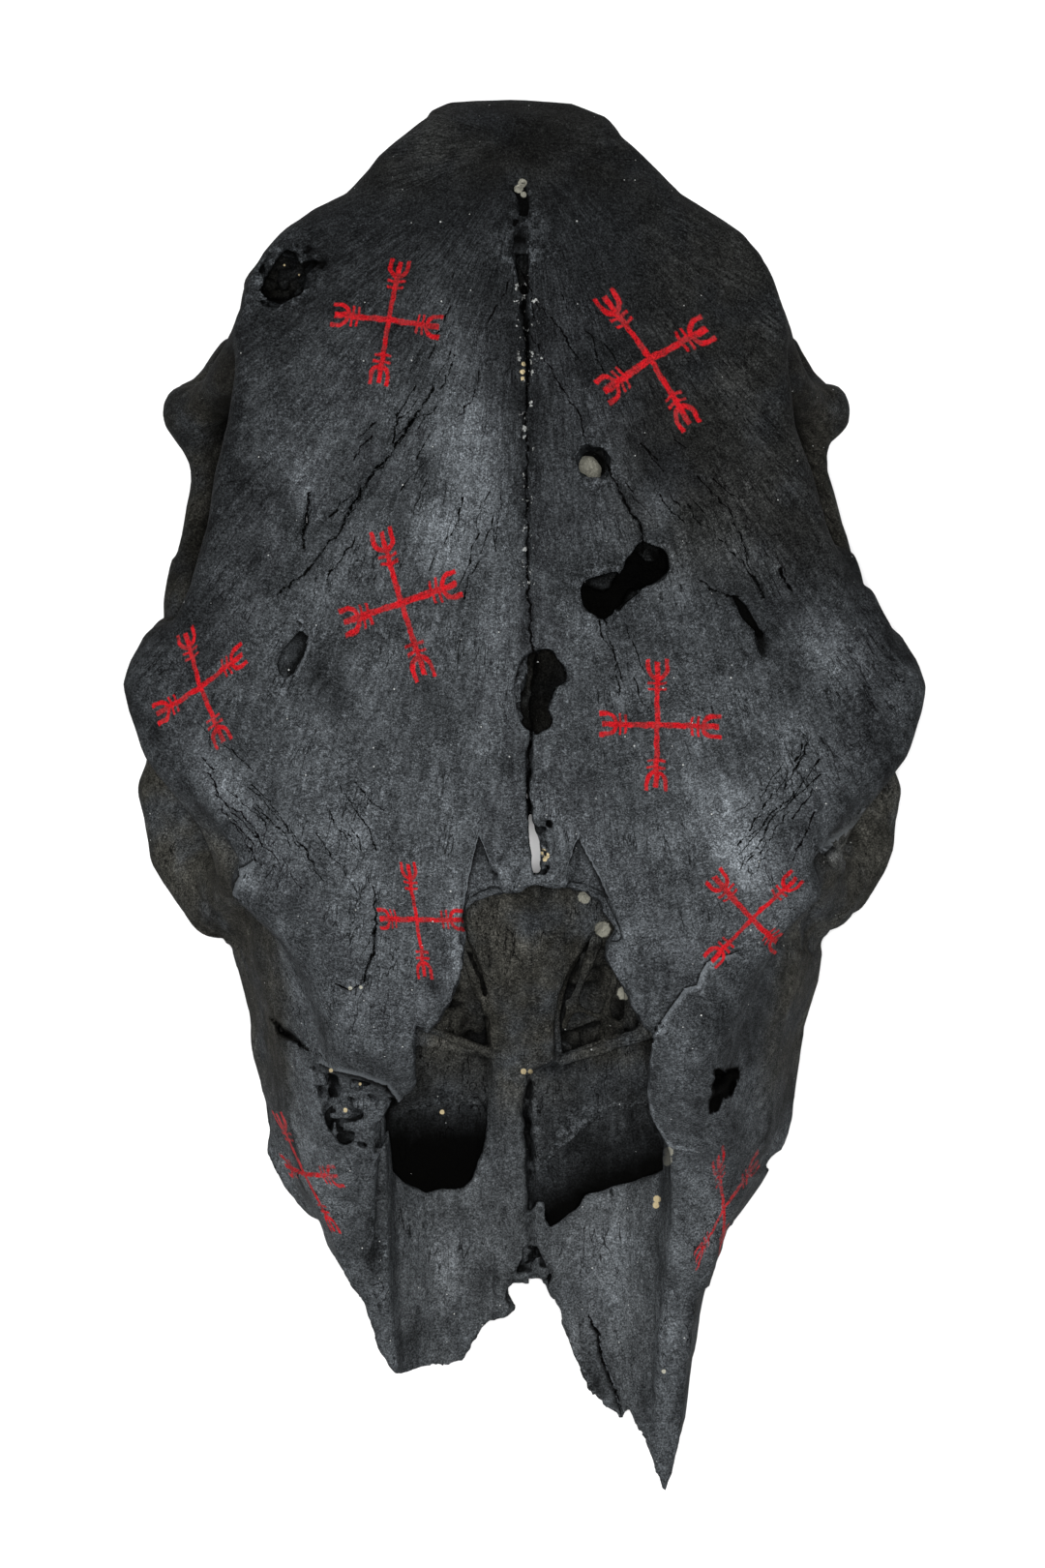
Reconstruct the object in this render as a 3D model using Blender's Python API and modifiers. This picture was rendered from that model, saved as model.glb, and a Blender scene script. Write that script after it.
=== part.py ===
"""Blackened cow skull: the cranium of a polled cow, without its lower jaw, resting on teeth and occiput.

The cranium is sculpted as a distance field in the skull's own straight frame, in millimetres: x across the
skull, u along the forehead from the snout up to the poll, and w out of the forehead. Seen with the forehead
towards the eye and the poll up, +x is on the right. Blender's volume library, the one behind its Voxel
Remesh, turns the field into a mesh, which Decimate makes light and Booleans cut for the tooth sockets. The
skull is then tilted to rest on its last molars and on the two paracondylar processes.
"""

import math

import bmesh
import bpy
import numpy as np
import openvdb
from mathutils import Matrix, Vector

MM = 0.001

# Driving dimensions, in millimetres
ORBIT_HALF_BREADTH = 104.0
POLL_END = 152.0
PALATE_W = -83.0
MOLAR_REST = (-58.0, -133.0)
PARACONDYLE_REST = (100.0, -158.0)
VOXEL = 2.0
CRANIUM_TRIANGLES = 8200

# The back of the skull leans to its left, and its underside is twisted a little the same way, per mm of depth
LEAN, LEAN_FROM, LEAN_TO = 3.7, -5.0, 75.0
TWIST, TWIST_FROM, TWIST_TO = 0.035, -60.0, 0.0

# Teeth of one side: name, middle along the row, distance from the median, length, breadth
TEETH = (
    ("premolar_2", -160.5, 39.5, 14.5, 10.5),
    ("premolar_3", -144.5, 44.5, 16.5, 14.0),
    ("premolar_4", -127.5, 47.0, 16.5, 16.5),
    ("molar_1", -107.5, 48.5, 21.5, 19.5),
    ("molar_2", -83.5, 48.8, 24.5, 20.5),
    ("molar_3", -58.0, 47.6, 24.5, 19.0),
)
ROW_SLOPE = math.atan(0.256)
CROWN = 12.5
ROOT = 14.0
TOOTH_EDGE = 2.0
SOCKET_GAP = 0.4
SOCKET_END_GAP = 0.8

# Middle of the skull's outline on the ground, in the tilted frame
ORIGIN = (-1.22, -26.54, -140.68)

# The distance field holds no distance above this
FAR = 40.0


def smooth(t):
    t = np.clip(t, 0, 1)
    return t * t * (3 - 2 * t)


def lean(u, w):
    """How far the skull leans sideways at a place along it and below the forehead."""
    back = smooth((u - LEAN_FROM) / (LEAN_TO - LEAN_FROM))
    under = smooth((u - TWIST_FROM) / (TWIST_TO - TWIST_FROM))
    return TWIST * w * under - LEAN * back


def alveolus(u):
    """Depth of the bone's edge round the tooth row, at a place along it."""
    return MOLAR_REST[1] + CROWN - math.tan(ROW_SLOPE) * (u - MOLAR_REST[0])


class Clay:
    """A block of space that holds the distance to the bone's surface, negative inside the bone."""

    def __init__(self, low, high, voxel):
        self.voxel = voxel
        self.low = np.array(low, float)
        self.axes = [np.arange(a, b, voxel, dtype=np.float32) for a, b in zip(low, high)]
        self.field = np.full([len(axis) for axis in self.axes], FAR, np.float32)

    def blocks(self, low, high, pad, sides):
        """The parts of the grid near a box, as slices and coordinates. Sides: both, left, right or whole."""
        left, right = (-high[0], -low[0]), (low[0], high[0])
        spans = {"left": [left], "right": [right], "whole": [right], "both": [left, right]}[sides]
        if sides == "both" and low[0] <= pad:
            spans = [(-high[0], high[0])]
        for span in spans:
            cut = []
            for axis, a, b in zip(self.axes, (span[0], low[1], low[2]), (span[1], high[1], high[2])):
                first = int(np.searchsorted(axis, a - pad))
                last = int(np.searchsorted(axis, b + pad))
                cut.append(slice(first, last))
            if all(part.stop > part.start for part in cut):
                x, u, w = (axis[part] for axis, part in zip(self.axes, cut))
                if sides == "both":
                    x = np.abs(x)
                elif sides == "left":
                    x = -x
                yield tuple(cut), x[:, None, None], u[None, :, None], w[None, None, :]

    def add(self, shape, blend=4.0, sides="both"):
        """Adds a shape, with a fillet of about this size where it meets the bone."""
        low, high, distance = shape
        for cut, x, u, w in self.blocks(low, high, blend + 2 * self.voxel, sides):
            old = self.field[cut]
            new = distance(x, u, w).astype(np.float32)
            h = np.maximum(blend - np.abs(old - new), 0) / max(blend, 1e-6)
            self.field[cut] = np.minimum(old, new) - h * h * (blend / 4)

    def cut(self, shape, blend=2.0, sides="both"):
        """Takes a shape away, with its edges rounded by about this size."""
        low, high, distance = shape
        for cut, x, u, w in self.blocks(low, high, blend + 2 * self.voxel, sides):
            old = self.field[cut]
            new = -distance(x, u, w).astype(np.float32)
            h = np.maximum(blend - np.abs(old - new), 0) / max(blend, 1e-6)
            self.field[cut] = np.maximum(old, new) + h * h * (blend / 4)

    def mesh(self, name):
        """The surface as a Blender mesh, still in the skull's frame, with any loose crumb left out."""
        grid = openvdb.FloatGrid(FAR)
        grid.copyFromArray(np.clip(self.field, -FAR, FAR))
        points, triangles, quads = grid.convertToPolygons(isovalue=0.0, adaptivity=0.0)
        points = points * self.voxel + self.low
        faces = [list(map(int, face)) for face in (*triangles, *quads)]
        mesh = bpy.data.meshes.new(name)
        mesh.from_pydata(points.tolist(), [], faces)
        form = bmesh.new()
        form.from_mesh(mesh)
        keep_largest(form)
        bmesh.ops.recalc_face_normals(form, faces=form.faces)
        form.to_mesh(mesh)
        form.free()
        return mesh


def keep_largest(form):
    """Deletes every piece of a mesh but the one with the most faces."""
    form.faces.ensure_lookup_table()
    seen, pieces = set(), []
    for start in form.verts:
        if start.index in seen:
            continue
        piece, waiting = [], [start]
        seen.add(start.index)
        while waiting:
            vertex = waiting.pop()
            piece.append(vertex)
            for edge in vertex.link_edges:
                other = edge.other_vert(vertex)
                if other.index not in seen:
                    seen.add(other.index)
                    waiting.append(other)
        pieces.append(piece)
    pieces.sort(key=len)
    for piece in pieces[:-1]:
        bmesh.ops.delete(form, geom=piece, context="VERTS")


def ball(center, radii):
    """An ellipsoid along the skull's axes."""
    c, r = np.array(center, float), np.array(radii, float)

    def distance(x, u, w):
        a, b, d = (x - c[0]) / r[0], (u - c[1]) / r[1], (w - c[2]) / r[2]
        k = np.sqrt(a * a + b * b + d * d)
        g = np.sqrt((a / r[0]) ** 2 + (b / r[1]) ** 2 + (d / r[2]) ** 2)
        return k * (k - 1) / np.maximum(g, 1e-4)

    return c - r, c + r, distance


def rod(points, radii, flat=(1, 1, 1), closed=False):
    """A tapering bar through the points. Flat above 1 makes it thinner along that axis."""
    p, r, s = np.array(points, float), np.array(radii, float), np.array(flat, float)
    ends = [(i, (i + 1) % len(p)) for i in range(len(p) if closed else len(p) - 1)]

    def distance(x, u, w):
        best = None
        for i, j in ends:
            a, d = p[i], (p[j] - p[i]) * s
            q = [(x - a[0]) * s[0], (u - a[1]) * s[1], (w - a[2]) * s[2]]
            t = np.clip((q[0] * d[0] + q[1] * d[1] + q[2] * d[2]) / (d @ d), 0, 1)
            away = sum((q[k] - t * d[k]) ** 2 for k in range(3))
            near = (np.sqrt(away) - (r[i] + t * (r[j] - r[i]))) / s.max()
            best = near if best is None else np.minimum(best, near)
        return best

    reach = (r.max() / s)[None, :]
    return (p - reach).min(axis=0), (p + reach).max(axis=0), distance


def flat_distance(outline, a, b):
    """Distance in a plane to a closed outline, negative inside it."""
    p = np.array(outline, float)
    nearest, inside = None, None
    for i in range(len(p)):
        p0, p1 = p[i - 1], p[i]
        e = p1 - p0
        if e @ e == 0:
            continue
        t = np.clip(((a - p0[0]) * e[0] + (b - p0[1]) * e[1]) / (e @ e), 0, 1)
        away = (a - p0[0] - t * e[0]) ** 2 + (b - p0[1] - t * e[1]) ** 2
        nearest = away if nearest is None else np.minimum(nearest, away)
        if p0[1] == p1[1]:
            continue
        crosses = (p0[1] > b) != (p1[1] > b)
        crosses = crosses & (a < p0[0] + (b - p0[1]) * e[0] / e[1])
        inside = crosses if inside is None else inside ^ crosses
    return np.where(inside, -1, 1) * np.sqrt(nearest)


def prism(outline, across, low, high, corner=0.0):
    """An outline in two axes, drawn through the third from low to high. Corner rounds its edges."""
    first, second = [axis for axis in range(3) if axis != across]
    p = np.array(outline, float)
    box_low, box_high = np.zeros(3), np.zeros(3)
    box_low[[first, second]], box_high[[first, second]] = p.min(axis=0), p.max(axis=0)
    box_low[across], box_high[across] = low, high

    def distance(*place):
        side = flat_distance(outline, place[first], place[second]) + corner
        end = np.abs(place[across] - (low + high) / 2) - (high - low) / 2 + corner
        outside = np.sqrt(np.maximum(side, 0) ** 2 + np.maximum(end, 0) ** 2)
        return outside + np.minimum(np.maximum(side, end), 0) - corner

    return box_low, box_high, distance


def loft(stations, corner=4.0):
    """Half sections in x and w, given at places along u, drawn smoothly from one to the next."""
    places = np.array([station[0] for station in stations], float)
    sections = np.array([station[1] for station in stations], float)
    steepest = np.abs(np.diff(sections, axis=0)).max(axis=(1, 2)) / np.diff(places)

    def distance(x, u, w):
        along = np.clip(u.ravel(), places[0], places[-1])
        index = np.clip(np.searchsorted(places, along) - 1, 0, len(places) - 2)
        share = (along - places[index]) / (places[index + 1] - places[index])
        result = np.empty(np.broadcast_shapes(x.shape, u.shape, w.shape), np.float32)
        for k, (i, t) in enumerate(zip(index, share)):
            half = sections[i] * (1 - t) + sections[i + 1] * t
            whole = np.concatenate([half, half[::-1] * (-1, 1)])
            slope = steepest[i]
            away = flat_distance(whole, x[:, 0, :], w[:, 0, :]) + corner
            side = away / math.sqrt(1 + slope * slope)
            end = max(places[0] - u[0, k, 0], u[0, k, 0] - places[-1]) + corner
            outside = np.sqrt(np.maximum(side, 0) ** 2 + max(end, 0) ** 2)
            result[:, k, :] = outside + np.minimum(np.maximum(side, end), 0) - corner
        return result

    low = np.array([0, places[0], sections[..., 1].min()])
    high = np.array([sections[..., 0].max(), places[-1], sections[..., 1].max()])
    return low, high, distance


def forehead_height(x, u):
    """The forehead's surface: almost flat between the orbits, falling to its sides and behind the poll."""
    side = -6.0 * (x / 65.0) ** 2
    poll = 5.0 * np.exp(-(((u - 112.0) / 26.0) ** 2) - (x / 40.0) ** 2)
    back = -15.0 * np.maximum(0, (u - 118.0 + (x / 11.0) ** 2 * 0.35) / 34.0) ** 2
    hollow = -2.5 * np.exp(-(((u + 8.0) / 34.0) ** 2) - (x / 26.0) ** 2)
    face = -0.0016 * np.maximum(0, -40.0 - u) ** 2
    return side + poll + back + hollow + face


# Half outline of the forehead's upper layer: the poll, the temporal line, the orbit's upper rim, the tear bone
FOREHEAD_HALF = (
    (0, 152), (16, 151), (25, 147), (32, 139.5), (36, 132.5), (41, 126.5), (45, 122.5), (52, 119.5),
    (58, 118), (61.5, 115), (65, 111), (68, 106), (70.5, 99), (72, 92), (72, 80), (74, 66), (78, 54), (81, 40),
    (86, 25), (90, 17), (95, 9), (101, 3.5), (104, -1.5), (103, -8), (99, -17), (94, -24), (86, -32),
    (80, -40), (74, -48), (77, -57), (60, -64), (0, -66),
)

# The same half section at each place along the face: roof, cheek, facial crest, tooth row, palate
FACE_SECTIONS = (
    (-226, ((0, -80), (30, -78), (35, -74), (39, -80), (39, -84), (36, -88), (30, -88), (24, -88), (0, -88))),
    (-204, ((0, -76), (31, -68), (36, -62), (41, -70), (42.5, -80), (41, -88), (34, -89), (28, -88), (0, -89))),
    (-184, ((0, -70), (31, -58), (37, -52), (42, -62), (45, -78), (45, -89), (33, -90), (29, -89), (0, -91))),
    (-165, ((0, -60), (32, -46), (38, -42), (44, -56), (48, -76), (48.5, -93), (33, -93), (29, -90), (0, -94))),
    (-148, ((0, -36), (33, -32), (41, -32), (50, -54), (53.5, -78), (54, -97), (35, -97), (32, -91), (0, -97))),
    (-132, ((0, -16), (34, -20), (43, -24), (60, -56), (66, -80), (58, -101), (36, -101), (33, -94), (0, -100))),
    (-118, ((0, -10), (34, -13), (45, -19), (64, -52), (72, -79), (60, -105), (37, -105), (33, -97), (0, -103))),
    (-95, ((0, -5), (36, -7), (50, -15), (66, -42), (74, -74), (61, -111), (37, -111), (33, -100), (0, -105))),
    (-74, ((0, -3), (40, -5), (57, -13), (72, -38), (80, -70), (62, -116), (37, -116), (32, -101), (0, -106))),
    (-55, ((0, -2), (44, -4), (66, -11), (72, -36), (77, -70), (61, -121), (36, -121), (28, -100), (0, -104))),
    (-42, ((0, -4), (42, -8), (56, -16), (50, -40), (54, -74), (58, -120), (36, -120), (24, -98), (0, -102))),
    (-32, ((0, -4), (42, -8), (46, -18), (38, -40), (40, -74), (46, -104), (34, -106), (20, -98), (0, -98))),
)

# Behind the face: the narrow keel between the orbits, then the braincase
CRANIAL_SECTIONS = (
    (-40, ((0, -6), (44, -10), (42, -24), (34, -44), (30, -64), (26, -84), (20, -96), (0, -92))),
    (-15, ((0, -6), (48, -12), (40, -24), (30, -42), (24, -62), (20, -80), (14, -90), (0, -84))),
    (12, ((0, -6), (56, -14), (44, -26), (34, -42), (27, -60), (20, -76), (12, -84), (0, -84))),
    (36, ((0, -6), (60, -14), (50, -28), (43, -46), (38, -64), (28, -80), (14, -88), (0, -90))),
    (60, ((0, -6), (62, -14), (54, -30), (50, -50), (48, -68), (38, -86), (18, -96), (0, -97))),
    (84, ((0, -6), (62, -14), (58, -32), (56, -54), (56, -74), (46, -92), (20, -104), (0, -104))),
    (104, ((0, -8), (60, -18), (64, -38), (66, -58), (64, -78), (48, -98), (22, -112), (0, -110))),
)


def mirrored(half):
    return list(half) + [(-x, u) for x, u in reversed(half) if x > 0]


def forehead(thickness=13.0):
    """The frontal bones' upper layer, as thick as their sinuses and tables together."""
    outline = mirrored(FOREHEAD_HALF)

    def distance(x, u, w):
        side = flat_distance(outline, x, u) + 5.0
        top = forehead_height(x, u)
        end = np.abs(w - top + thickness / 2) - thickness / 2 + 5.0
        outside = np.sqrt(np.maximum(side, 0) ** 2 + np.maximum(end, 0) ** 2)
        return outside + np.minimum(np.maximum(side, end), 0) - 5.0

    return (0, -66, -60), (ORBIT_HALF_BREADTH, POLL_END, 8), distance


def occiput():
    """The back wall: a block that widens downwards to the mastoids, with a bowed hinder face."""
    outline = ((0, -4), (58, -12), (72, -30), (82, -48), (92, -66), (94, -76), (86, -88), (66, -100),
               (48, -118), (34, -122), (0, -118))
    whole = mirrored(outline)

    def distance(x, u, w):
        side = flat_distance(whole, x, w) + 5.0
        bow = (x / 75.0) ** 2 * (46.0 + 0.12 * w) + 12.0 * smooth((x - 64.0) / 10.0)
        back = u - (147.5 + 0.2 * w - bow) + 5.0
        front = (78.0 + 0.05 * w) - u + 5.0
        end = np.maximum(back, front)
        outside = np.sqrt(np.maximum(side, 0) ** 2 + np.maximum(end, 0) ** 2)
        return outside + np.minimum(np.maximum(side, end), 0) - 5.0

    return (0, 50, -122), (94, 150, -4), distance


ORBIT_RIM = (
    (98, -2, -15), (94, -18, -18), (82, -36, -26), (74, -52, -38), (79, -55, -56), (90, -46, -70),
    (95, -29, -74), (95.5, -8, -68), (94, 8, -54), (93, 12, -38), (95, 8, -24),
)
ARCH = ((95.5, -12, -70), (94, 8, -72), (90.5, 26, -73), (87, 42, -72), (83.5, 58, -71), (86, 70, -72))
TEMPORAL_CREST = ((66, 97, -16), (71, 88, -32), (76, 78, -50), (84, 73, -68))


def cranium_bones(clay):
    """All that is bone, before any hollow is cut."""
    clay.add(loft(FACE_SECTIONS), blend=0)
    clay.add(loft(CRANIAL_SECTIONS), blend=14)
    clay.add(occiput(), blend=8)
    clay.cut(ball((86, 42, -44), (34, 33, 30)), blend=6)
    clay.cut(ball((60, 26, -34), (20, 26, 18)), blend=6)
    clay.add(forehead(), blend=8)
    clay.add(rod(TEMPORAL_CREST, (6, 5, 5, 6)), blend=8)
    clay.add(ball((63.5, -121, -80), (8, 9, 11)), blend=6)
    clay.add(ball((66.5, -127, -80), (7, 8, 9)), blend=4, sides="left")
    clay.add(ball((86.5, 71, -71), (6.5, 8.5, 8)), blend=6)


def orbits(clay):
    """The round eye sockets, their rims, the postorbital bars and the zygomatic arches."""
    clay.cut(ball((78, -20, -44), (40, 27, 25)), blend=4)
    clay.cut(rod(((80, -20, -46), (40, -6, -50)), (20, 8)), blend=6)
    clay.add(rod(((62, -54, -20), (72, -50, -30), (76, -56, -50)), (9, 7, 7)), blend=8)
    clay.add(rod(ORBIT_RIM, (5.5, 5, 5, 6, 7, 6.5, 5.5, 5, 5, 5, 5.5), closed=True), blend=7)
    clay.add(rod(((80, -58, -62), (88, -48, -70), (96, -30, -74)), (9, 7, 6)), blend=8)
    clay.add(rod(ARCH, (6.5, 6, 5.5, 5, 5, 7), flat=(1.3, 1, 1)), blend=7)
    clay.add(ball((52, -46, -82), (14, 14, 12)), blend=6)
    clay.add(rod(((96, -30, -74), (93, -46, -72), (84, -60, -68)), (7.5, 9, 9)), blend=7, sides="left")


def skull_base(clay):
    """The underside: basal bones, ear bones, condyles, paracondylar processes and pterygoids."""
    clay.add(rod(((0, 112, -118), (0, 80, -108), (0, 40, -96), (0, 0, -86)), (13, 14, 11, 9), flat=(1, 1, 1.4)),
             blend=8)
    clay.add(rod(((15, 121, -132), (34, 114, -111)), (13, 12.5)), blend=6)
    clay.add(rod(((56, 98, -112), (50, 99, -134), (46, PARACONDYLE_REST[0], -153)), (11, 8, 5.2),
                 flat=(1, 1.2, 1)), blend=8)
    clay.add(ball((42, 72, -104), (13, 17, 16)), blend=4)
    clay.add(ball((78, 84, -88), (13, 12, 12)), blend=8)
    clay.add(rod(((17, -34, -98), (19, -8, -96), (19, 14, -92), (16, 36, -92)), (5, 4, 4.5, 6),
                 flat=(1.5, 1, 0.8)), blend=6)
    clay.add(rod(((18, -20, -102), (20, -6, -110), (22, 4, -118)), (5, 3.5, 2.6)), blend=5)
    clay.add(ball((0, 138, -42), (11, 8, 12)), blend=10)
    clay.cut(rod(((0, 142, -107), (0, 94, -88)), (19, 19)), blend=3)


# Half outline of the cavity seen through the broken front of the face
APERTURE_HALF = (
    (0, -53), (9, -55), (17, -58), (19, -66), (20, -76), (25, -85), (31, -92), (32, -104), (34, -114),
    (38, -122), (39, -150), (36, -175), (34, -235), (0, -235),
)
CAVITY_SECTIONS = (
    (-240, ((0, -30), (30, -30), (35, -50), (35, -70), (34, -80), (27, PALATE_W), (0, PALATE_W))),
    (-185, ((0, -20), (30, -20), (36, -40), (37, -66), (36, -79), (28, PALATE_W), (0, PALATE_W))),
    (-150, ((0, -12), (32, -24), (38, -44), (39, -62), (37, -78), (28, PALATE_W), (0, PALATE_W))),
    (-115, ((0, -12), (30, -21), (37, -36), (39, -56), (37, -76), (28, PALATE_W), (0, PALATE_W))),
    (-85, ((0, -16), (26, -19), (37, -32), (40, -52), (36, -74), (26, PALATE_W), (0, PALATE_W))),
    (-50, ((0, -17), (24, -20), (34, -30), (36, -48), (32, -68), (20, -76), (0, -76))),
    (-22, ((0, -24), (14, -26), (20, -34), (20, -46), (17, -58), (11, -64), (0, -64))),
)
WALL_TOP = ((-88, 20), (-96, -6), (-108, -18), (-118, -32), (-132, -46), (-148, -56), (-166, -62),
            (-184, -67), (-204, -72), (-222, -77), (-250, -78), (-250, 20))


# The two openings in the nose's floor, into the hollow of the hard palate
LEFT_PALATE_HOLE = ((-30, -98), (-10, -96), (-9, -110), (-10, -122), (-14, -133), (-20, -137), (-30, -138),
                    (-36, -132), (-38, -122), (-36, -112))
RIGHT_PALATE_HOLE = ((1, -102), (12, -97), (24, -94), (32, -97), (33, -112), (35, -124), (31, -134), (20, -138),
                     (12, -144), (6, -150), (2, -142), (0.5, -120))

# Where the front of the palate is broken away: the middle, and the end of the left side
SNOUT_NOTCH = ((-7, -165), (-6.5, -168), (-3.5, -171.8), (-6, -173.6), (-10.5, -175), (-13, -177), (-16, -182),
               (-18, -185.5), (-24, -186.5), (-24, -240), (38.5, -240), (38.5, -221), (36, -216), (34, -209.5),
               (31, -203.5), (28, -198), (25.5, -201), (17, -194), (12.5, -183.5), (9, -172), (5.5, -165))
LEFT_SNOUT = ((-23, -186), (-35.5, -188.6), (-39.6, -181.7), (-44, -169), (-50.5, -158.8), (-59, -149),
              (-68, -139), (-80, -132), (-80, -240), (-22, -240))


def hollows(clay):
    """The nose, the passage behind it, the sinuses and the braincase, all open to the outside."""
    clay.cut(loft(CAVITY_SECTIONS, corner=3.0), blend=3)
    clay.cut(prism(mirrored(APERTURE_HALF), 2, -60, 30), blend=1.5)
    clay.cut(prism(WALL_TOP, 0, -120, 120), blend=2)
    clay.cut(ball((0, 64, -62), (39, 46, 30)), blend=2)
    clay.cut(ball((0, 74, -17), (50, 46, 6.5)), blend=2)
    clay.cut(rod(((23.4, 55.7, -60), (26, 58.8, -115)), (6, 6)), blend=3)
    clay.cut(rod(((0, -30, -78), (0, -50, -76)), (11, 11)), blend=3)
    clay.cut(rod(((0, -28, -90), (0, 6, -104)), (11, 14)), blend=5)
    clay.cut(ball((0, -42, -96), (13, 17, 26)), blend=4)
    clay.cut(ball((19, -116, -90.5), (17, 34, 3.8)), blend=1)
    clay.cut(prism(SNOUT_NOTCH, 2, -120, 0), blend=2, sides="whole")
    clay.cut(prism(LEFT_SNOUT, 2, -120, 0), blend=2, sides="whole")
    clay.cut(prism(LEFT_PALATE_HOLE, 2, -92, -70), blend=2, sides="whole")
    clay.cut(prism(RIGHT_PALATE_HOLE, 2, -92, -70), blend=2, sides="whole")
    clay.add(rod(((0, -66, -70), (-1, -88, -73), (-4, -112, -80), (-4, -145, -86)), (8, 5, 4.5, 4)), blend=5,
             sides="whole")


# Holes in the forehead, in the plane of x and u: rough round centres with radii, then the long median break
ROUND_HOLES = (((20.5, 55.5, 40), 4.2), ((20, 20.5, 12), 5.6), ((33, 29, 12), 5.6))
BRIDGE = ((20, 20.5), (33, 29))
MEDIAN_BREAK = ((1.6, 7), (5, 8), (8, 6), (11, 3), (11.5, -1), (8, -2), (6.5, -5), (6, -8), (6.5, -11), (5.5, -14),
                (3, -16), (0.5, -17), (-2, -12), (-3.5, -7), (-3.7, -2), (-1, 2.5))
SLIT = ((0.4, -38), (2, -38), (2.2, -40), (3.2, -42), (3.4, -50), (2, -52), (1, -50), (1, -45))


def damage(clay):
    """The holes, breaks and pits that show in the forehead and the face."""
    for (x, u, depth), radius in ROUND_HOLES:
        clay.cut(rod(((x, u, 10), (x, u, -depth)), (radius, radius)), blend=2, sides="right")
    clay.cut(rod([(x, u, 0) for x, u in BRIDGE], (4, 4)), blend=2, sides="right")
    clay.cut(rod([(x, u, -8) for x, u in BRIDGE], (3, 3)), blend=2, sides="right")
    clay.cut(prism(MEDIAN_BREAK, 2, -30, 10), blend=1.5, sides="whole")
    clay.cut(prism(SLIT, 2, -30, 10), blend=1, sides="whole")
    clay.cut(ball((59.5, 104, -10), (7.5, 5.5, 7)), blend=2, sides="left")
    clay.cut(ball((51, -107, -40), (4.5, 6, 12)), blend=2, sides="right")


def sculpt(voxel):
    clay = Clay((-116, -230, -166), (116, 158, 12), voxel)
    cranium_bones(clay)
    orbits(clay)
    skull_base(clay)
    hollows(clay)
    damage(clay)
    return clay


def material(name, colour, roughness):
    made = bpy.data.materials.new(name)
    made.use_nodes = True
    shader = made.node_tree.nodes["Principled BSDF"]
    shader.inputs["Base Color"].default_value = (*colour, 1.0)
    shader.inputs["Roughness"].default_value = roughness
    shader.inputs["Metallic"].default_value = 0.0
    return made


def smooth_shaded(mesh, degrees):
    mesh.shade_smooth()
    mesh.set_sharp_from_angle(angle=math.radians(degrees))


def block(name, length, breadth, root, crown, collection):
    """A box with its edges bevelled, that reaches into the bone by its root and out of it by its crown."""
    bpy.ops.mesh.primitive_cube_add(size=1, location=(0, 0, 0))
    made = bpy.context.object
    made.name = made.data.name = name
    for other in list(made.users_collection):
        other.objects.unlink(made)
    collection.objects.link(made)
    size = Matrix.Diagonal((breadth, length, root + crown, 1))
    place = Matrix.Translation((0, 0, (root - crown) / 2))
    made.data.transform(Matrix.Scale(MM, 4) @ place @ size)
    edges = made.modifiers.new("Worn edges", "BEVEL")
    edges.width = TOOTH_EDGE * MM
    edges.segments = 1
    return made


def tooth_matrix(side, u, x, level):
    """Stands a tooth in its row. The last molar's chewing face lies level, as the skull rests on it."""
    slope = rest_angle() if level else ROW_SLOPE
    place = Matrix.Translation(Vector((side * x, u, alveolus(u))) * MM)
    return to_world @ place @ Matrix.Rotation(-slope, 4, "X")


def rest_angle():
    """How far the forehead tips forward when the skull stands on its last molars and its back processes."""
    run = PARACONDYLE_REST[0] - MOLAR_REST[0]
    return math.atan2(MOLAR_REST[1] - PARACONDYLE_REST[1], run)


to_world = Matrix.Translation(Vector(ORIGIN) * -MM) @ Matrix.Rotation(rest_angle(), 4, "X")


def cranium(collection, cutters, bone):
    mesh = sculpt(VOXEL).mesh("cranium")
    points = np.empty(len(mesh.vertices) * 3)
    mesh.vertices.foreach_get("co", points)
    points = points.reshape(-1, 3)
    points[:, 0] += lean(points[:, 1], points[:, 2])
    mesh.vertices.foreach_set("co", points.ravel() * MM)
    mesh.transform(to_world)
    mesh.materials.append(bone)
    made = bpy.data.objects.new("cranium", mesh)
    collection.objects.link(made)
    mesh.calc_loop_triangles()
    thin = made.modifiers.new("Fewer faces", "DECIMATE")
    thin.ratio = CRANIUM_TRIANGLES / len(mesh.loop_triangles)
    sockets = made.modifiers.new("Tooth sockets", "BOOLEAN")
    sockets.operation = "DIFFERENCE"
    sockets.operand_type = "COLLECTION"
    sockets.collection = cutters
    return made


def tooth_row(side, side_name, collection, cutters, enamel):
    """Six teeth of one side, and the cutters of their sockets."""
    for name, u, x, length, breadth in TEETH:
        level = name == "molar_3"
        tooth = block(f"{side_name}_{name}", length, breadth, ROOT, CROWN, collection)
        tooth.data.materials.append(enamel)
        socket = block(f"{side_name}_{name}_socket", length + 2 * SOCKET_END_GAP, breadth + 2 * SOCKET_GAP,
                       ROOT + SOCKET_GAP, CROWN + 4, cutters)
        socket.hide_render = True
        socket.display_type = "WIRE"
        for piece in (tooth, socket):
            piece.matrix_world = tooth_matrix(side, u, x, level)


def main():
    for obj in list(bpy.data.objects):
        bpy.data.objects.remove(obj, do_unlink=True)
    skull = bpy.data.collections.new("blackened cow skull")
    cutters = bpy.data.collections.new("cutters")
    for collection in (skull, cutters):
        bpy.context.scene.collection.children.link(collection)
    bone = material("blackened bone", (0.035, 0.037, 0.040), 0.85)
    enamel = material("darkened enamel", (0.06, 0.055, 0.045), 0.55)
    tooth_row(-1, "left", skull, cutters, enamel)
    tooth_row(1, "right", skull, cutters, enamel)
    made = cranium(skull, cutters, bone)
    smooth_shaded(made.data, 40)


main()
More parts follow.
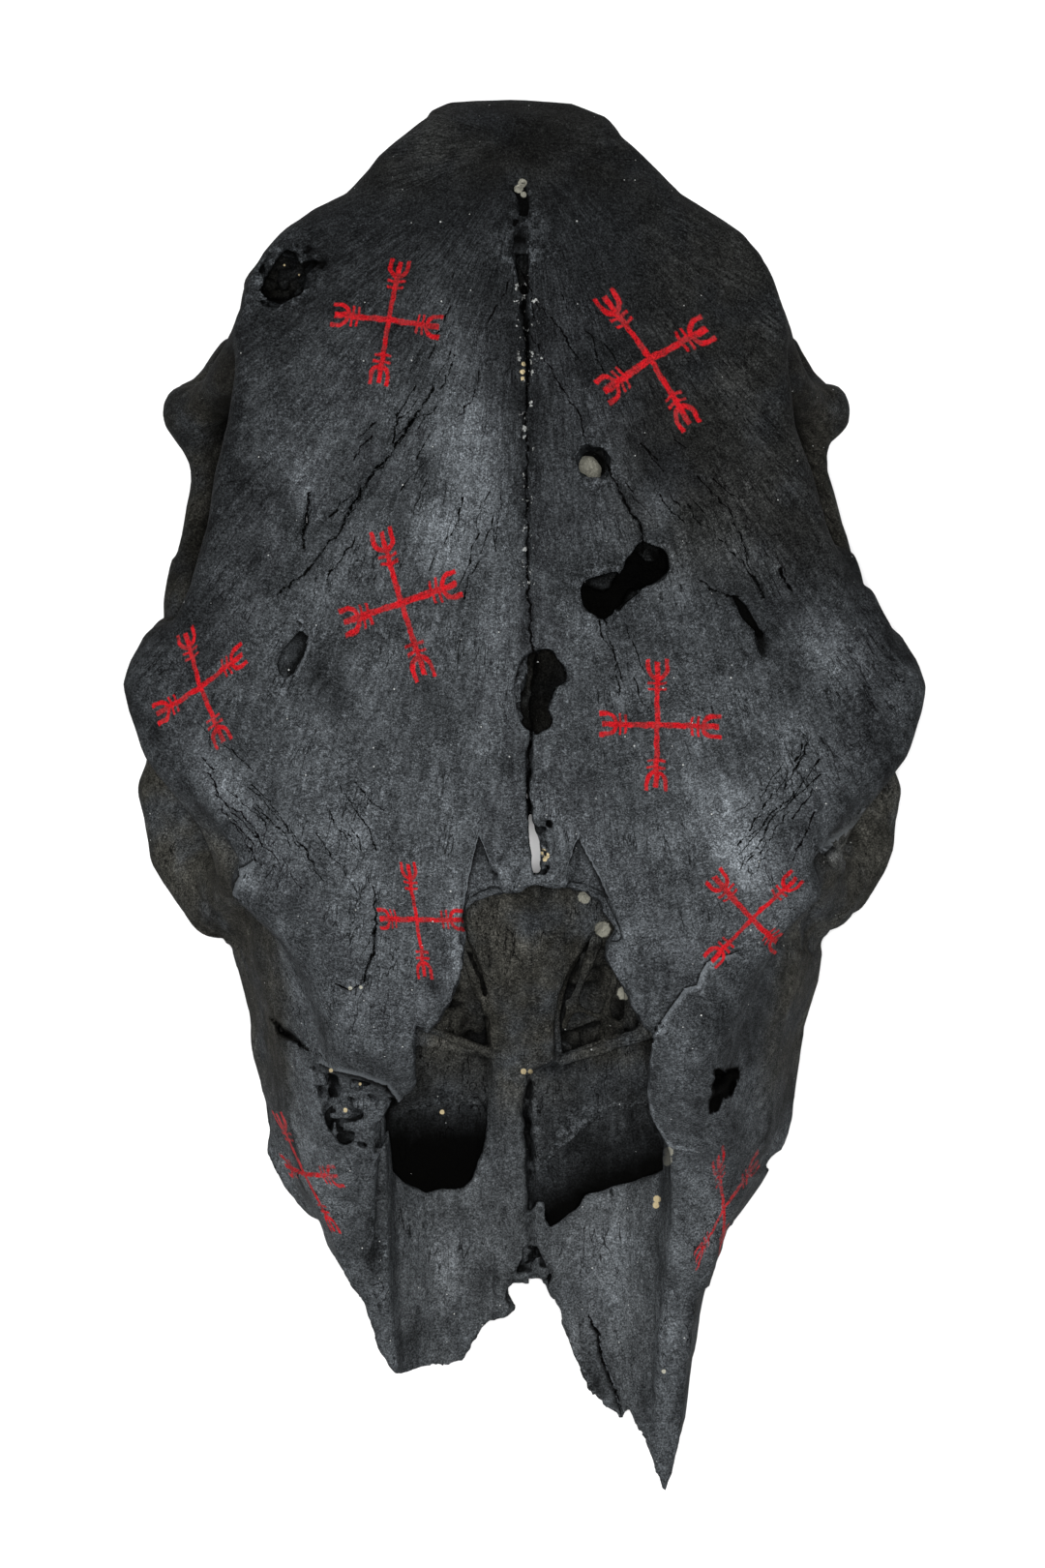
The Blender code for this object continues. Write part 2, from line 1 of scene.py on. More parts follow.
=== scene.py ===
"""Blackened cow skull: the cranium of a polled cow with painted red staves, seen from above its forehead.

The bone is sculpted as a distance field in the skull's own frame, in millimetres: x across the skull, u along
the forehead from the snout up to the poll, and w out of the forehead. The plain form is close to the CAD
solid, on a finer grid. Breaks, cracks, foramina and spongy bone are cut into it, and its sides are trimmed to
the outline in the photograph.
"""

import math

import bmesh
import bpy
import numpy as np
import openvdb
from mathutils import Matrix, Vector

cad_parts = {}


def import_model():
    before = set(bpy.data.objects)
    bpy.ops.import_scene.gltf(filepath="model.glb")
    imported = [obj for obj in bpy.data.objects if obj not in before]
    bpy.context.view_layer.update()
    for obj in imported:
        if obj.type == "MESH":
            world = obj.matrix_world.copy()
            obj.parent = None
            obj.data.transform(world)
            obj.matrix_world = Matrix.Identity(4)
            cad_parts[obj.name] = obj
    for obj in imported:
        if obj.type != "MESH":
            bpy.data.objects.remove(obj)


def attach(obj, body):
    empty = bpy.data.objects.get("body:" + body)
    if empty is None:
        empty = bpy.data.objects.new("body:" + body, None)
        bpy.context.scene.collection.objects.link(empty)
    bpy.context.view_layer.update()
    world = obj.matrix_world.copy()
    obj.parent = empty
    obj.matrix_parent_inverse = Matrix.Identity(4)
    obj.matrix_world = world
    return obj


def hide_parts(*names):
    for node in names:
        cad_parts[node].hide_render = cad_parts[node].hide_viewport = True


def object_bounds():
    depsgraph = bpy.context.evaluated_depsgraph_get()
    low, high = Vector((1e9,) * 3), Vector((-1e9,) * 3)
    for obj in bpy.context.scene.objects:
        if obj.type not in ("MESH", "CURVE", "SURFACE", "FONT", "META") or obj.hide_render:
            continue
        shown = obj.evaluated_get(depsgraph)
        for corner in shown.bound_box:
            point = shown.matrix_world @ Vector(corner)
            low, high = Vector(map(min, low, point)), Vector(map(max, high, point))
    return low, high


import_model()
cad_low, cad_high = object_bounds()

MM = 0.001

# The skull's frame against the floor, and the eye above the forehead
PALATE_W = -83.0
MOLAR_REST = (-58.0, -133.0)
PARACONDYLE_REST = (100.0, -158.0)
ORIGIN = (-1.22, -26.54, -140.68)
EYE_X, EYE_U, EYE_HEIGHT = -1.25, -27.5, 1300.0
VIEW_HEIGHT = 405.0

# The back of the skull leans to its left, and its underside is twisted a little the same way, per mm of depth
LEAN, LEAN_FROM, LEAN_TO = 3.7, -5.0, 75.0
TWIST, TWIST_FROM, TWIST_TO = 0.035, -60.0, 0.0
# How deep a shape that is given as the eye sees it may reach, and how much wider its block is for the lean
DEEPEST_SEEN, LEAN_ROOM = -130.0, 9

# The grid's step, fine enough for the cracks
VOXEL = 0.9
BONE_TRIANGLES = 190000
TOOTH_TRIANGLES = 3000
BONE_SHARP, TOOTH_SHARP = 60, 50
# The farthest distance that the clay holds, and the block that it fills
FAR = 40.0
SKULL_BLOCK = ((-116, -230, -166), (116, 158, 12))
# How uneven the surfaces are: amount, grain and seed
SKULL_WEATHER = ((0.3, 13.0, 40), (0.15, 4.0, 41))
# How far round a place its share of solid is taken, and the level of pores that leaves no bone at all
TIGHT_REACH, WIDE_REACH = 2.6, 9.0
ALL_AWAY = -9

# Teeth of one side: name, middle along the row, distance from the median, length, breadth, root's length
TEETH = (
    ("premolar_2", -160.5, 39.5, 14.5, 10.5, 7.0), ("premolar_3", -144.5, 44.5, 16.5, 14.0, 9.5),
    ("premolar_4", -127.5, 47.0, 16.5, 16.5, 13.0), ("molar_1", -107.5, 48.5, 21.5, 19.5, 14.0),
    ("molar_2", -83.5, 48.8, 24.5, 20.5, 14.0), ("molar_3", -58.0, 47.6, 24.5, 19.0, 14.0),
)
ROW_SLOPE = math.atan(0.256)
CROWN = 12.5
SOCKET_GAP = 0.4


def smooth(t):
    t = np.clip(t, 0, 1)
    return t * t * (3 - 2 * t)


def rest_angle():
    run = PARACONDYLE_REST[0] - MOLAR_REST[0]
    return math.atan2(MOLAR_REST[1] - PARACONDYLE_REST[1], run)


def lean(u, w):
    """How far the skull leans sideways at a place along it and below the forehead."""
    back = smooth((u - LEAN_FROM) / (LEAN_TO - LEAN_FROM))
    under = smooth((u - TWIST_FROM) / (TWIST_TO - TWIST_FROM))
    return TWIST * w * under - LEAN * back


def alveolus(u):
    """Depth of the bone's edge round the tooth row, at a place along it."""
    return MOLAR_REST[1] + CROWN - math.tan(ROW_SLOPE) * (u - MOLAR_REST[0])


def tooth_slope(name):
    """The last molar's chewing face lies level, as the skull rests on it."""
    return rest_angle() if name == "molar_3" else ROW_SLOPE


def sighted(x, u, w):
    """Where the eye sees a place of the leaning skull against the plane of the forehead."""
    nearer = EYE_HEIGHT / (EYE_HEIGHT - w)
    return (x - EYE_X) * nearer + EYE_X, (u - EYE_U) * nearer + EYE_U


to_world = Matrix.Translation(Vector(ORIGIN) * -MM) @ Matrix.Rotation(rest_angle(), 4, "X")


# The camera, the floor and the light

# Each softbox: place in metres, width, and power. The third stands round the camera and looks where it looks
KEY_SOFTBOX = ((-0.50, 0.42, 1.5), 0.6, 12)
FILL_SOFTBOX = ((0.8, -0.6, 1.2), 0.9, 4)
CAMERA_SOFTBOX = (0.07, 24.5)
LIGHT_AIM = (0, 0, 0.1)
SKY_STRENGTH = 0.33
FLOOR_WIDTH, FLOOR_COLOUR, FLOOR_ROUGHNESS = 8, (0.93, 0.93, 0.93, 1.0), 0.9
scene = bpy.context.scene


def placed(name, data):
    """A new object of the scene."""
    made = bpy.data.objects.new(name, data)
    scene.collection.objects.link(made)
    return made


def new_material(name):
    made = bpy.data.materials.new(name)
    made.use_nodes = True
    return made, made.node_tree, made.node_tree.nodes["Principled BSDF"]


def eye_place():
    return to_world @ (Vector((EYE_X, EYE_U, EYE_HEIGHT)) * MM)


def set_camera():
    lens = bpy.data.cameras.new("photograph")
    lens.sensor_width = 36.0
    lens.lens = lens.sensor_width * EYE_HEIGHT / VIEW_HEIGHT
    lens.clip_start, lens.clip_end = 0.05, 50.0
    camera = placed("photograph", lens)
    camera.matrix_world = Matrix.Translation(eye_place()) @ to_world.to_3x3().to_4x4()
    scene.camera = camera


def soft_light(name, aim, place, size, power):
    lamp = bpy.data.lights.new(name, "AREA")
    lamp.shape = "SQUARE"
    lamp.size = size
    lamp.energy = power
    made = placed(name, lamp)
    made.location = place
    made.rotation_euler = (Vector(aim) - Vector(place)).to_track_quat("-Z", "Y").to_euler()


def set_studio():
    scene.view_settings.view_transform = "Standard"
    world = bpy.data.worlds.new("studio")
    world.use_nodes = True
    sky = world.node_tree.nodes["Background"]
    sky.inputs["Color"].default_value = (1.0, 1.0, 1.0, 1.0)
    sky.inputs["Strength"].default_value = SKY_STRENGTH
    scene.world = world
    soft_light("key softbox", LIGHT_AIM, *KEY_SOFTBOX)
    soft_light("fill softbox", LIGHT_AIM, *FILL_SOFTBOX)
    ahead = eye_place() - to_world.to_3x3() @ Vector((0, 0, 1))
    soft_light("camera softbox", ahead, eye_place(), *CAMERA_SOFTBOX)
    bpy.ops.mesh.primitive_plane_add(size=FLOOR_WIDTH)
    floor = bpy.context.object
    floor.name = floor.data.name = "floor"
    pale, tree, shader = new_material("pale floor")
    shader.inputs["Base Color"].default_value = FLOOR_COLOUR
    shader.inputs["Roughness"].default_value = FLOOR_ROUGHNESS
    floor.data.materials.append(pale)


# The clay that the bone and the teeth are sculpted in


class Clay:
    """A block of space that holds the distance to the surface, negative inside it."""

    def __init__(self, low, high, voxel):
        self.voxel = voxel
        self.low = np.array(low, float)
        self.axes = [np.arange(a, b, voxel, dtype=np.float32) for a, b in zip(low, high)]
        self.field = np.full([len(axis) for axis in self.axes], FAR, np.float32)

    def blocks(self, low, high, pad, sides):
        """The parts of the grid near a box, as slices and coordinates.

        Sides: both, left, right, whole, or seen, where x and u are as the eye sees them against the forehead.
        """
        left, right = (-high[0], -low[0]), (low[0], high[0])
        along = (low[1], high[1])
        if sides == "seen":
            farther = 1 - max(low[2], DEEPEST_SEEN) / EYE_HEIGHT
            right = ((low[0] - EYE_X) * (farther if low[0] < EYE_X else 1) + EYE_X,
                     (high[0] - EYE_X) * (farther if high[0] > EYE_X else 1) + EYE_X + LEAN_ROOM)
            along = ((low[1] - EYE_U) * (farther if low[1] < EYE_U else 1) + EYE_U,
                     (high[1] - EYE_U) * (farther if high[1] > EYE_U else 1) + EYE_U)
        spans = {"left": [left], "right": [right], "both": [left, right]}.get(sides, [right])
        if sides == "both" and low[0] <= pad:
            spans = [(-high[0], high[0])]
        for span in spans:
            cut = []
            for axis, a, b in zip(self.axes, (span[0], along[0], low[2]), (span[1], along[1], high[2])):
                first = int(np.searchsorted(axis, a - pad))
                last = int(np.searchsorted(axis, b + pad))
                cut.append(slice(first, last))
            if all(part.stop > part.start for part in cut):
                x, u, w = (axis[part] for axis, part in zip(self.axes, cut))
                x, u, w = x[:, None, None], u[None, :, None], w[None, None, :]
                if sides == "both":
                    x = np.abs(x)
                elif sides == "left":
                    x = -x
                elif sides == "seen":
                    x, u = sighted(x + lean(u, w), u, w)
                yield tuple(cut), x, u, w

    def noise(self, cut, size, seed):
        """Smooth random values from -1 to 1 that change over this many millimetres."""
        values = np.random.default_rng(seed).uniform(-1, 1, (32, 32, 32)).astype(np.float32)
        for axis in range(3):
            place = self.axes[axis][cut[axis]] / size + 96
            first = np.floor(place).astype(int)
            share = smooth(place - first).astype(np.float32)
            share = share.reshape([-1 if k == axis else 1 for k in range(3)])
            before, after = (np.take(values, (first + step) % 32, axis) for step in (0, 1))
            values = before + (after - before) * share
        return values

    def meetings(self, shape, sign, blend, sides, rough, grain, seed):
        """Near a shape: slices of the grid, the clay's distance, the shape's times sign, and the fillet."""
        low, high, distance = shape
        for cut, x, u, w in self.blocks(low, high, blend + rough + 2 * self.voxel, sides):
            old = self.field[cut]
            new = sign * distance(x, u, w).astype(np.float32)
            if rough:
                new = new + rough * self.noise(cut, grain, seed)
            h = np.maximum(blend - np.abs(old - new), 0) / max(blend, 1e-6)
            yield cut, old, new, h * h * (blend / 4)

    def add(self, shape, blend=4.0, sides="both", rough=0.0, grain=3.0, seed=1):
        """Adds a shape, with a fillet of about this size where it meets the bone."""
        for cut, old, new, fillet in self.meetings(shape, 1, blend, sides, rough, grain, seed):
            self.field[cut] = np.minimum(old, new) - fillet

    def cut(self, shape, blend=2.0, sides="both", rough=0.0, grain=3.0, seed=1):
        """Takes a shape away, with its edges rounded by about this size, or left rough by this amount."""
        for cut, old, new, fillet in self.meetings(shape, -1, blend, sides, rough, grain, seed):
            self.field[cut] = np.maximum(old, new) + fillet

    def score(self, line, half_width, depth, reach, sides="seen", across=2):
        """Cuts a crack or groove along a line, V-shaped, down to a depth below the surface."""
        low, high, away = path(line, half_width, reach, across)
        for cut, x, u, w in self.blocks(low, high, 2 * self.voxel, sides):
            old = self.field[cut]
            place = [x, u, w]
            place.pop(across)
            near, width = away(*place)
            new = width * np.clip(1 + old / depth, 0, 1) - near
            self.field[cut] = np.maximum(old, new.astype(np.float32))

    def crease(self, line, half_width, sink, reach, sides="seen", across=2):
        """Presses a soft dent into the surface along a line."""
        low, high, away = path(line, 2.2 * half_width, reach, across)
        for cut, x, u, w in self.blocks(low, high, 2 * self.voxel, sides):
            place = [x, u, w]
            place.pop(across)
            near, width = away(*place)
            dent = sink * np.exp(-((near / half_width) ** 2)) * width / half_width / 2.2
            self.field[cut] += dent.astype(np.float32)

    def erode(self, outline, depth, grain, level, reach, sides="seen", across=2, seed=1):
        """Eats pores into the surface within an outline, down to a depth. A higher level leaves more bone."""
        low, high, away = prism(outline, across, *reach)
        for cut, x, u, w in self.blocks(low, high, self.voxel, sides):
            old = self.field[cut]
            pores = self.noise(cut, grain, seed) + 0.5 * self.noise(cut, grain / 2, seed + 1)
            pores = (pores - level) * grain / 2
            inside = -away(x, u, w) * 0.6
            new = np.minimum(np.minimum(pores, old + depth), inside)
            self.field[cut] = np.maximum(old, new.astype(np.float32))

    def raised(self, outline, height, reach, ramp=1.0, sides="seen", across=2):
        """Lifts the surface within an outline by this height, or sinks it by a height below zero."""
        low, high, away = prism(outline, across, *reach)
        for cut, x, u, w in self.blocks(low, high, self.voxel, sides):
            self.field[cut] -= (height * smooth(-away(x, u, w) / ramp)).astype(np.float32)

    def weather(self, amount, grain, seed):
        """Makes the whole surface uneven."""
        everything = tuple(slice(0, len(axis)) for axis in self.axes)
        self.field += amount * self.noise(everything, grain, seed)

    def solid_share(self, reach, places):
        """How much solid there is round each place, from 0 to 1, in a cube of this half width."""
        step = 2
        solid = (self.field[::step, ::step, ::step] < 0).astype(np.float32)
        half = max(1, round(reach / self.voxel / step))
        for axis in range(3):
            padding = [(half + 1, half) if k == axis else (0, 0) for k in range(3)]
            total = np.cumsum(np.pad(solid, padding), axis=axis)
            count = solid.shape[axis]
            upper = np.take(total, range(2 * half + 1, 2 * half + 1 + count), axis)
            lower = np.take(total, range(count), axis)
            solid = (upper - lower) / (2 * half + 1)
        place = np.clip((places - self.low) / (self.voxel * step), 0, np.array(solid.shape) - 1.001)
        first = place.astype(int)
        share = place - first
        result = np.zeros(len(places))
        for corner in np.ndindex(2, 2, 2):
            weight = np.where(corner, share, 1 - share).prod(axis=1)
            result += weight * solid[tuple((first + corner).T)]
        return result

    def mesh(self, name):
        """The surface as a Blender mesh, still in the skull's frame."""
        grid = openvdb.FloatGrid(FAR)
        grid.copyFromArray(np.clip(self.field, -FAR, FAR))
        points, triangles, quads = grid.convertToPolygons(isovalue=0.0, adaptivity=0.0)
        points = (points * self.voxel + self.low).astype(np.float32)
        sizes = np.concatenate([np.full(len(triangles), 3), np.full(len(quads), 4)])
        corners = np.concatenate([np.ravel(triangles), np.ravel(quads)]).astype(np.int32)
        mesh = bpy.data.meshes.new(name)
        mesh.vertices.add(len(points))
        mesh.vertices.foreach_set("co", points.ravel())
        mesh.loops.add(len(corners))
        mesh.loops.foreach_set("vertex_index", corners)
        mesh.polygons.add(len(sizes))
        mesh.polygons.foreach_set("loop_start", np.concatenate([[0], np.cumsum(sizes)[:-1]]).astype(np.int32))
        mesh.update(calc_edges=True)
        return mesh


def ball(center, radii):
    """An ellipsoid along the skull's axes."""
    c, r = np.array(center, float), np.array(radii, float)

    def distance(x, u, w):
        a, b, d = (x - c[0]) / r[0], (u - c[1]) / r[1], (w - c[2]) / r[2]
        k = np.sqrt(a * a + b * b + d * d)
        g = np.sqrt((a / r[0]) ** 2 + (b / r[1]) ** 2 + (d / r[2]) ** 2)
        return k * (k - 1) / np.maximum(g, 1e-4)

    return c - r, c + r, distance


def rod(points, radii, flat=(1, 1, 1), closed=False):
    """A tapering bar through the points. Flat above 1 makes it thinner along that axis."""
    p, r, s = np.array(points, float), np.array(radii, float), np.array(flat, float)
    ends = [(i, (i + 1) % len(p)) for i in range(len(p) if closed else len(p) - 1)]

    def distance(x, u, w):
        best = None
        for i, j in ends:
            a, d = p[i], (p[j] - p[i]) * s
            q = [(x - a[0]) * s[0], (u - a[1]) * s[1], (w - a[2]) * s[2]]
            t = np.clip((q[0] * d[0] + q[1] * d[1] + q[2] * d[2]) / (d @ d), 0, 1)
            away = sum((q[k] - t * d[k]) ** 2 for k in range(3))
            near = (np.sqrt(away) - (r[i] + t * (r[j] - r[i]))) / s.max()
            best = near if best is None else np.minimum(best, near)
        return best

    reach = (r.max() / s)[None, :]
    return (p - reach).min(axis=0), (p + reach).max(axis=0), distance


def flat_distance(outline, a, b):
    """Distance in a plane to a closed outline, negative inside it."""
    p = np.array(outline, float)
    nearest, inside = None, None
    for i in range(len(p)):
        p0, p1 = p[i - 1], p[i]
        e = p1 - p0
        if e @ e == 0:
            continue
        t = np.clip(((a - p0[0]) * e[0] + (b - p0[1]) * e[1]) / (e @ e), 0, 1)
        away = (a - p0[0] - t * e[0]) ** 2 + (b - p0[1] - t * e[1]) ** 2
        nearest = away if nearest is None else np.minimum(nearest, away)
        if p0[1] == p1[1]:
            continue
        crosses = (p0[1] > b) != (p1[1] > b)
        crosses = crosses & (a < p0[0] + (b - p0[1]) * e[0] / e[1])
        inside = crosses if inside is None else inside ^ crosses
    return np.where(inside, -1, 1) * np.sqrt(nearest)


def rounded(side, end, corner):
    """Joins the distances to a shape's side and end, each given with the corner added, in a rounded edge."""
    outside = np.sqrt(np.maximum(side, 0) ** 2 + np.maximum(end, 0) ** 2)
    return outside + np.minimum(np.maximum(side, end), 0) - corner


def path(line, half_width, reach, across):
    """Distance in a plane to an open line, and the line's half width there, which tapers at both ends."""
    p = np.array(line, float)
    lengths = np.linalg.norm(np.diff(p, axis=0), axis=1)
    before = np.concatenate([[0], np.cumsum(lengths)])
    first, second = [axis for axis in range(3) if axis != across]
    low, high = np.zeros(3), np.zeros(3)
    low[[first, second]], high[[first, second]] = p.min(axis=0) - half_width, p.max(axis=0) + half_width
    low[across], high[across] = reach

    def away(a, b):
        nearest, width = None, None
        for i, length in enumerate(lengths):
            e = (p[i + 1] - p[i]) / length
            t = np.clip((a - p[i, 0]) * e[0] + (b - p[i, 1]) * e[1], 0, length)
            d = np.sqrt((a - p[i, 0] - t * e[0]) ** 2 + (b - p[i, 1] - t * e[1]) ** 2)
            ends = np.minimum(before[i] + t, before[-1] - before[i] - t)
            here = half_width * (0.35 + 0.65 * smooth(ends / 6.0))
            if nearest is None:
                nearest, width = d, here
            else:
                closer = d < nearest
                nearest, width = np.where(closer, d, nearest), np.where(closer, here, width)
        return nearest, width

    return low, high, away


def prism(outline, across, low, high, corner=0.0):
    """An outline in two axes, drawn through the third from low to high. Corner rounds its edges."""
    first, second = [axis for axis in range(3) if axis != across]
    p = np.array(outline, float)
    box_low, box_high = np.zeros(3), np.zeros(3)
    box_low[[first, second]], box_high[[first, second]] = p.min(axis=0), p.max(axis=0)
    box_low[across], box_high[across] = low, high

    def distance(*place):
        side = flat_distance(outline, place[first], place[second]) + corner
        end = np.abs(place[across] - (low + high) / 2) - (high - low) / 2 + corner
        return rounded(side, end, corner)

    return box_low, box_high, distance


def pit(outline, start, end, tilt):
    """A hole in the nose's floor, whose own floor slopes down from the first place along u to the second."""
    p = np.array(outline, float)

    def distance(x, u, w):
        down = (start - u + tilt * x) / (start - end)
        floor = PALATE_W - 1.0 - 7.5 * smooth(down)
        return np.maximum(flat_distance(outline, x, u), np.abs(w - (floor - 70) / 2) - (-70 - floor) / 2)

    return (*p.min(axis=0), -92), (*p.max(axis=0), -70), distance


def loft(stations, corner=4.0):
    """Half sections in x and w, given at places along u, drawn smoothly from one to the next."""
    places = np.array([station[0] for station in stations], float)
    sections = np.array([station[1] for station in stations], float)
    steepest = np.abs(np.diff(sections, axis=0)).max(axis=(1, 2)) / np.diff(places)

    def distance(x, u, w):
        along = np.clip(u.ravel(), places[0], places[-1])
        index = np.clip(np.searchsorted(places, along) - 1, 0, len(places) - 2)
        share = (along - places[index]) / (places[index + 1] - places[index])
        result = np.empty(np.broadcast_shapes(x.shape, u.shape, w.shape), np.float32)
        for k, (i, t) in enumerate(zip(index, share)):
            half = sections[i] * (1 - t) + sections[i + 1] * t
            whole = np.concatenate([half, half[::-1] * (-1, 1)])
            slope = steepest[i]
            away = flat_distance(whole, x[:, 0, :], w[:, 0, :]) + corner
            side = away / math.sqrt(1 + slope * slope)
            end = max(places[0] - u[0, k, 0], u[0, k, 0] - places[-1]) + corner
            result[:, k, :] = rounded(side, end, corner)
        return result

    low = np.array([0, places[0], sections[..., 1].min()])
    high = np.array([sections[..., 0].max(), places[-1], sections[..., 1].max()])
    return low, high, distance


# The plain form of the cranium, close to the CAD solid


def forehead_height(x, u):
    """The forehead's surface: almost flat between the orbits, falling to its sides and behind the poll."""
    side = -6.0 * (x / 65.0) ** 2
    poll = 5.0 * np.exp(-(((u - 112.0) / 26.0) ** 2) - (x / 40.0) ** 2)
    back = -15.0 * np.maximum(0, (u - 118.0 + (x / 11.0) ** 2 * 0.35) / 34.0) ** 2
    hollow = -2.5 * np.exp(-(((u + 8.0) / 34.0) ** 2) - (x / 26.0) ** 2)
    face = -0.0016 * np.maximum(0, -40.0 - u) ** 2
    return side + poll + back + hollow + face


# Half outline of the forehead's upper layer: poll, temporal line, the orbit's upper rim, and tear bone
FOREHEAD_HALF = (
    (0, 152), (16, 151), (25, 147), (32, 139.5), (36, 132.5), (41, 126.5), (45, 122.5), (52, 119.5),
    (58, 118), (61.5, 115), (65, 111), (68, 106), (70.5, 99), (72, 92), (72, 80), (74, 66), (78, 54),
    (81, 40), (86, 25), (90, 17), (95, 9), (101, 3.5), (104, -1.5), (103, -8), (99, -17), (94, -24),
    (86, -32), (80, -40), (74, -48), (77, -57), (66, -66), (56, -78), (50, -95), (45, -112), (42, -124),
    (0, -124),
)

# The same half section at each place along the face: roof, cheek, facial crest, tooth row, palate
FACE_SECTIONS = (
    (-226, ((0, -80), (30, -78), (35, -74), (39, -80), (39, -84), (36, -88), (30, -88), (24, -88), (0, -88))),
    (-204, ((0, -76), (31, -68), (36, -62), (41, -70), (42.5, -80), (41, -88), (34, -89), (28, -88),
            (0, -89))),
    (-184, ((0, -70), (31, -58), (37, -52), (42, -62), (45, -78), (45, -89), (33, -90), (29, -89), (0, -91))),
    (-165, ((0, -60), (32, -46), (38, -42), (44, -56), (48, -76), (48.5, -93), (33, -93), (29, -90),
            (0, -94))),
    (-148, ((0, -36), (33, -32), (41, -32), (50, -54), (53.5, -78), (54, -97), (35, -97), (32, -91),
            (0, -97))),
    (-132, ((0, -16), (34, -20), (43, -24), (60, -56), (66, -80), (58, -101), (36, -101), (33, -94),
            (0, -100))),
    (-118, ((0, -10), (34, -13), (45, -19), (64, -52), (72, -79), (60, -105), (37, -105), (33, -97),
            (0, -103))),
    (-95, ((0, -9), (36, -11), (50, -16), (66, -42), (74, -74), (61, -111), (37, -111), (33, -100),
           (0, -105))),
    (-74, ((0, -9), (40, -11), (57, -15), (72, -38), (80, -70), (62, -116), (37, -116), (32, -101),
           (0, -106))),
    (-55, ((0, -9), (44, -11), (66, -14), (72, -36), (77, -70), (61, -121), (36, -121), (28, -100),
           (0, -104))),
    (-42, ((0, -10), (42, -13), (56, -18), (50, -40), (54, -74), (58, -120), (36, -120), (24, -98),
           (0, -102))),
    (-32, ((0, -10), (42, -13), (46, -20), (38, -40), (40, -74), (46, -104), (34, -106), (20, -98),
           (0, -98))),
)

# Behind the face: the narrow keel between the orbits, then the braincase
CRANIAL_SECTIONS = (
    (-40, ((0, -11), (44, -13), (42, -24), (34, -44), (30, -64), (26, -84), (20, -96), (0, -92))),
    (-15, ((0, -11), (48, -15), (40, -24), (30, -42), (24, -62), (20, -80), (14, -90), (0, -84))),
    (12, ((0, -11), (56, -17), (44, -26), (34, -42), (27, -60), (20, -76), (12, -84), (0, -84))),
    (36, ((0, -11), (60, -17), (50, -28), (43, -46), (38, -64), (28, -80), (14, -88), (0, -90))),
    (60, ((0, -11), (62, -17), (54, -30), (50, -50), (48, -68), (38, -86), (18, -96), (0, -97))),
    (84, ((0, -11), (62, -17), (58, -32), (56, -54), (56, -74), (46, -92), (20, -104), (0, -104))),
    (104, ((0, -8), (60, -18), (64, -38), (66, -58), (64, -78), (48, -98), (22, -112), (0, -110))),
)
OCCIPUT_HALF = (
    (0, -4), (58, -12), (72, -30), (82, -48), (92, -66), (94, -76), (86, -88), (66, -100), (48, -118),
    (34, -122), (0, -118),
)
ORBIT_RIM = (
    (98, -2, -15), (94, -18, -18), (82, -36, -26), (74, -52, -38), (79, -55, -56), (90, -46, -70),
    (95, -29, -74), (95.5, -8, -68), (94, 8, -54), (93, 12, -38), (95, 8, -24),
)
ARCH = ((95.5, -12, -70), (94, 8, -72), (90.5, 26, -73), (87, 42, -72), (83.5, 58, -71), (86, 70, -72))
TEMPORAL_CREST = ((66, 97, -16), (71, 88, -32), (76, 78, -50), (84, 73, -68))


def read_off(*places):
    """Places on the forehead's plane, from the photograph's own measure of 4 px to 1 mm there."""
    return [((px - 545) / 4, (700 - py) / 4) for px, py in places]


# The broken front of the face: down the left edge, then up the right one
APERTURE = read_off(
    (395, 1640), (395, 1420), (385, 1340), (388, 1240), (392, 1180), (398, 1161), (402, 1149), (409, 1141),
    (419, 1133), (430, 1118), (429, 1076), (430, 1058), (434, 1063), (441, 1067), (453, 1054), (464, 1037),
    (475, 1012), (481, 964), (478, 947), (481, 940), (488, 933), (500, 926), (517, 923), (534, 922),
    (545, 915), (554, 911), (562, 915), (582, 916), (604, 922), (617, 928), (624, 942), (638, 961),
    (628, 973), (625, 989), (634, 1003), (643, 1017), (653, 1037), (663, 1054), (669, 1062), (675, 1066),
    (681, 1057), (680, 1076), (674, 1102), (672, 1132), (676, 1161), (683, 1177), (690, 1183), (684, 1200),
    (672, 1300), (680, 1400), (688, 1540), (690, 1640))

# The nose's cavity, as half sections like those of the face
CAVITY_SECTIONS = (
    (-240, ((0, -30), (30, -30), (35, -50), (35, -70), (33, -78), (26, -82), (0, PALATE_W))),
    (-185, ((0, -20), (30, -20), (36, -40), (37, -62), (34, -73), (25, -80.5), (0, PALATE_W))),
    (-150, ((0, -12), (32, -24), (38, -44), (38.5, -57), (35, -70), (25, -80), (0, PALATE_W))),
    (-115, ((0, -12), (30, -21), (37, -36), (39, -56), (37, -76), (28, PALATE_W), (0, PALATE_W))),
    (-85, ((0, -16), (26, -19), (37, -32), (40, -52), (36, -74), (26, PALATE_W), (0, PALATE_W))),
    (-50, ((0, -17), (24, -20), (34, -30), (36, -48), (32, -68), (20, -76), (0, -76))),
    (-22, ((0, -24), (14, -26), (20, -34), (20, -46), (17, -58), (11, -64), (0, -64))),
)

# What is gone above the nose's side walls, as seen from the side
WALL_TOP = (
    (-88, 20), (-96, -6), (-108, -18), (-118, -32), (-132, -46), (-148, -56), (-166, -62), (-184, -67),
    (-204, -72), (-222, -77), (-250, -78), (-250, 20),
)

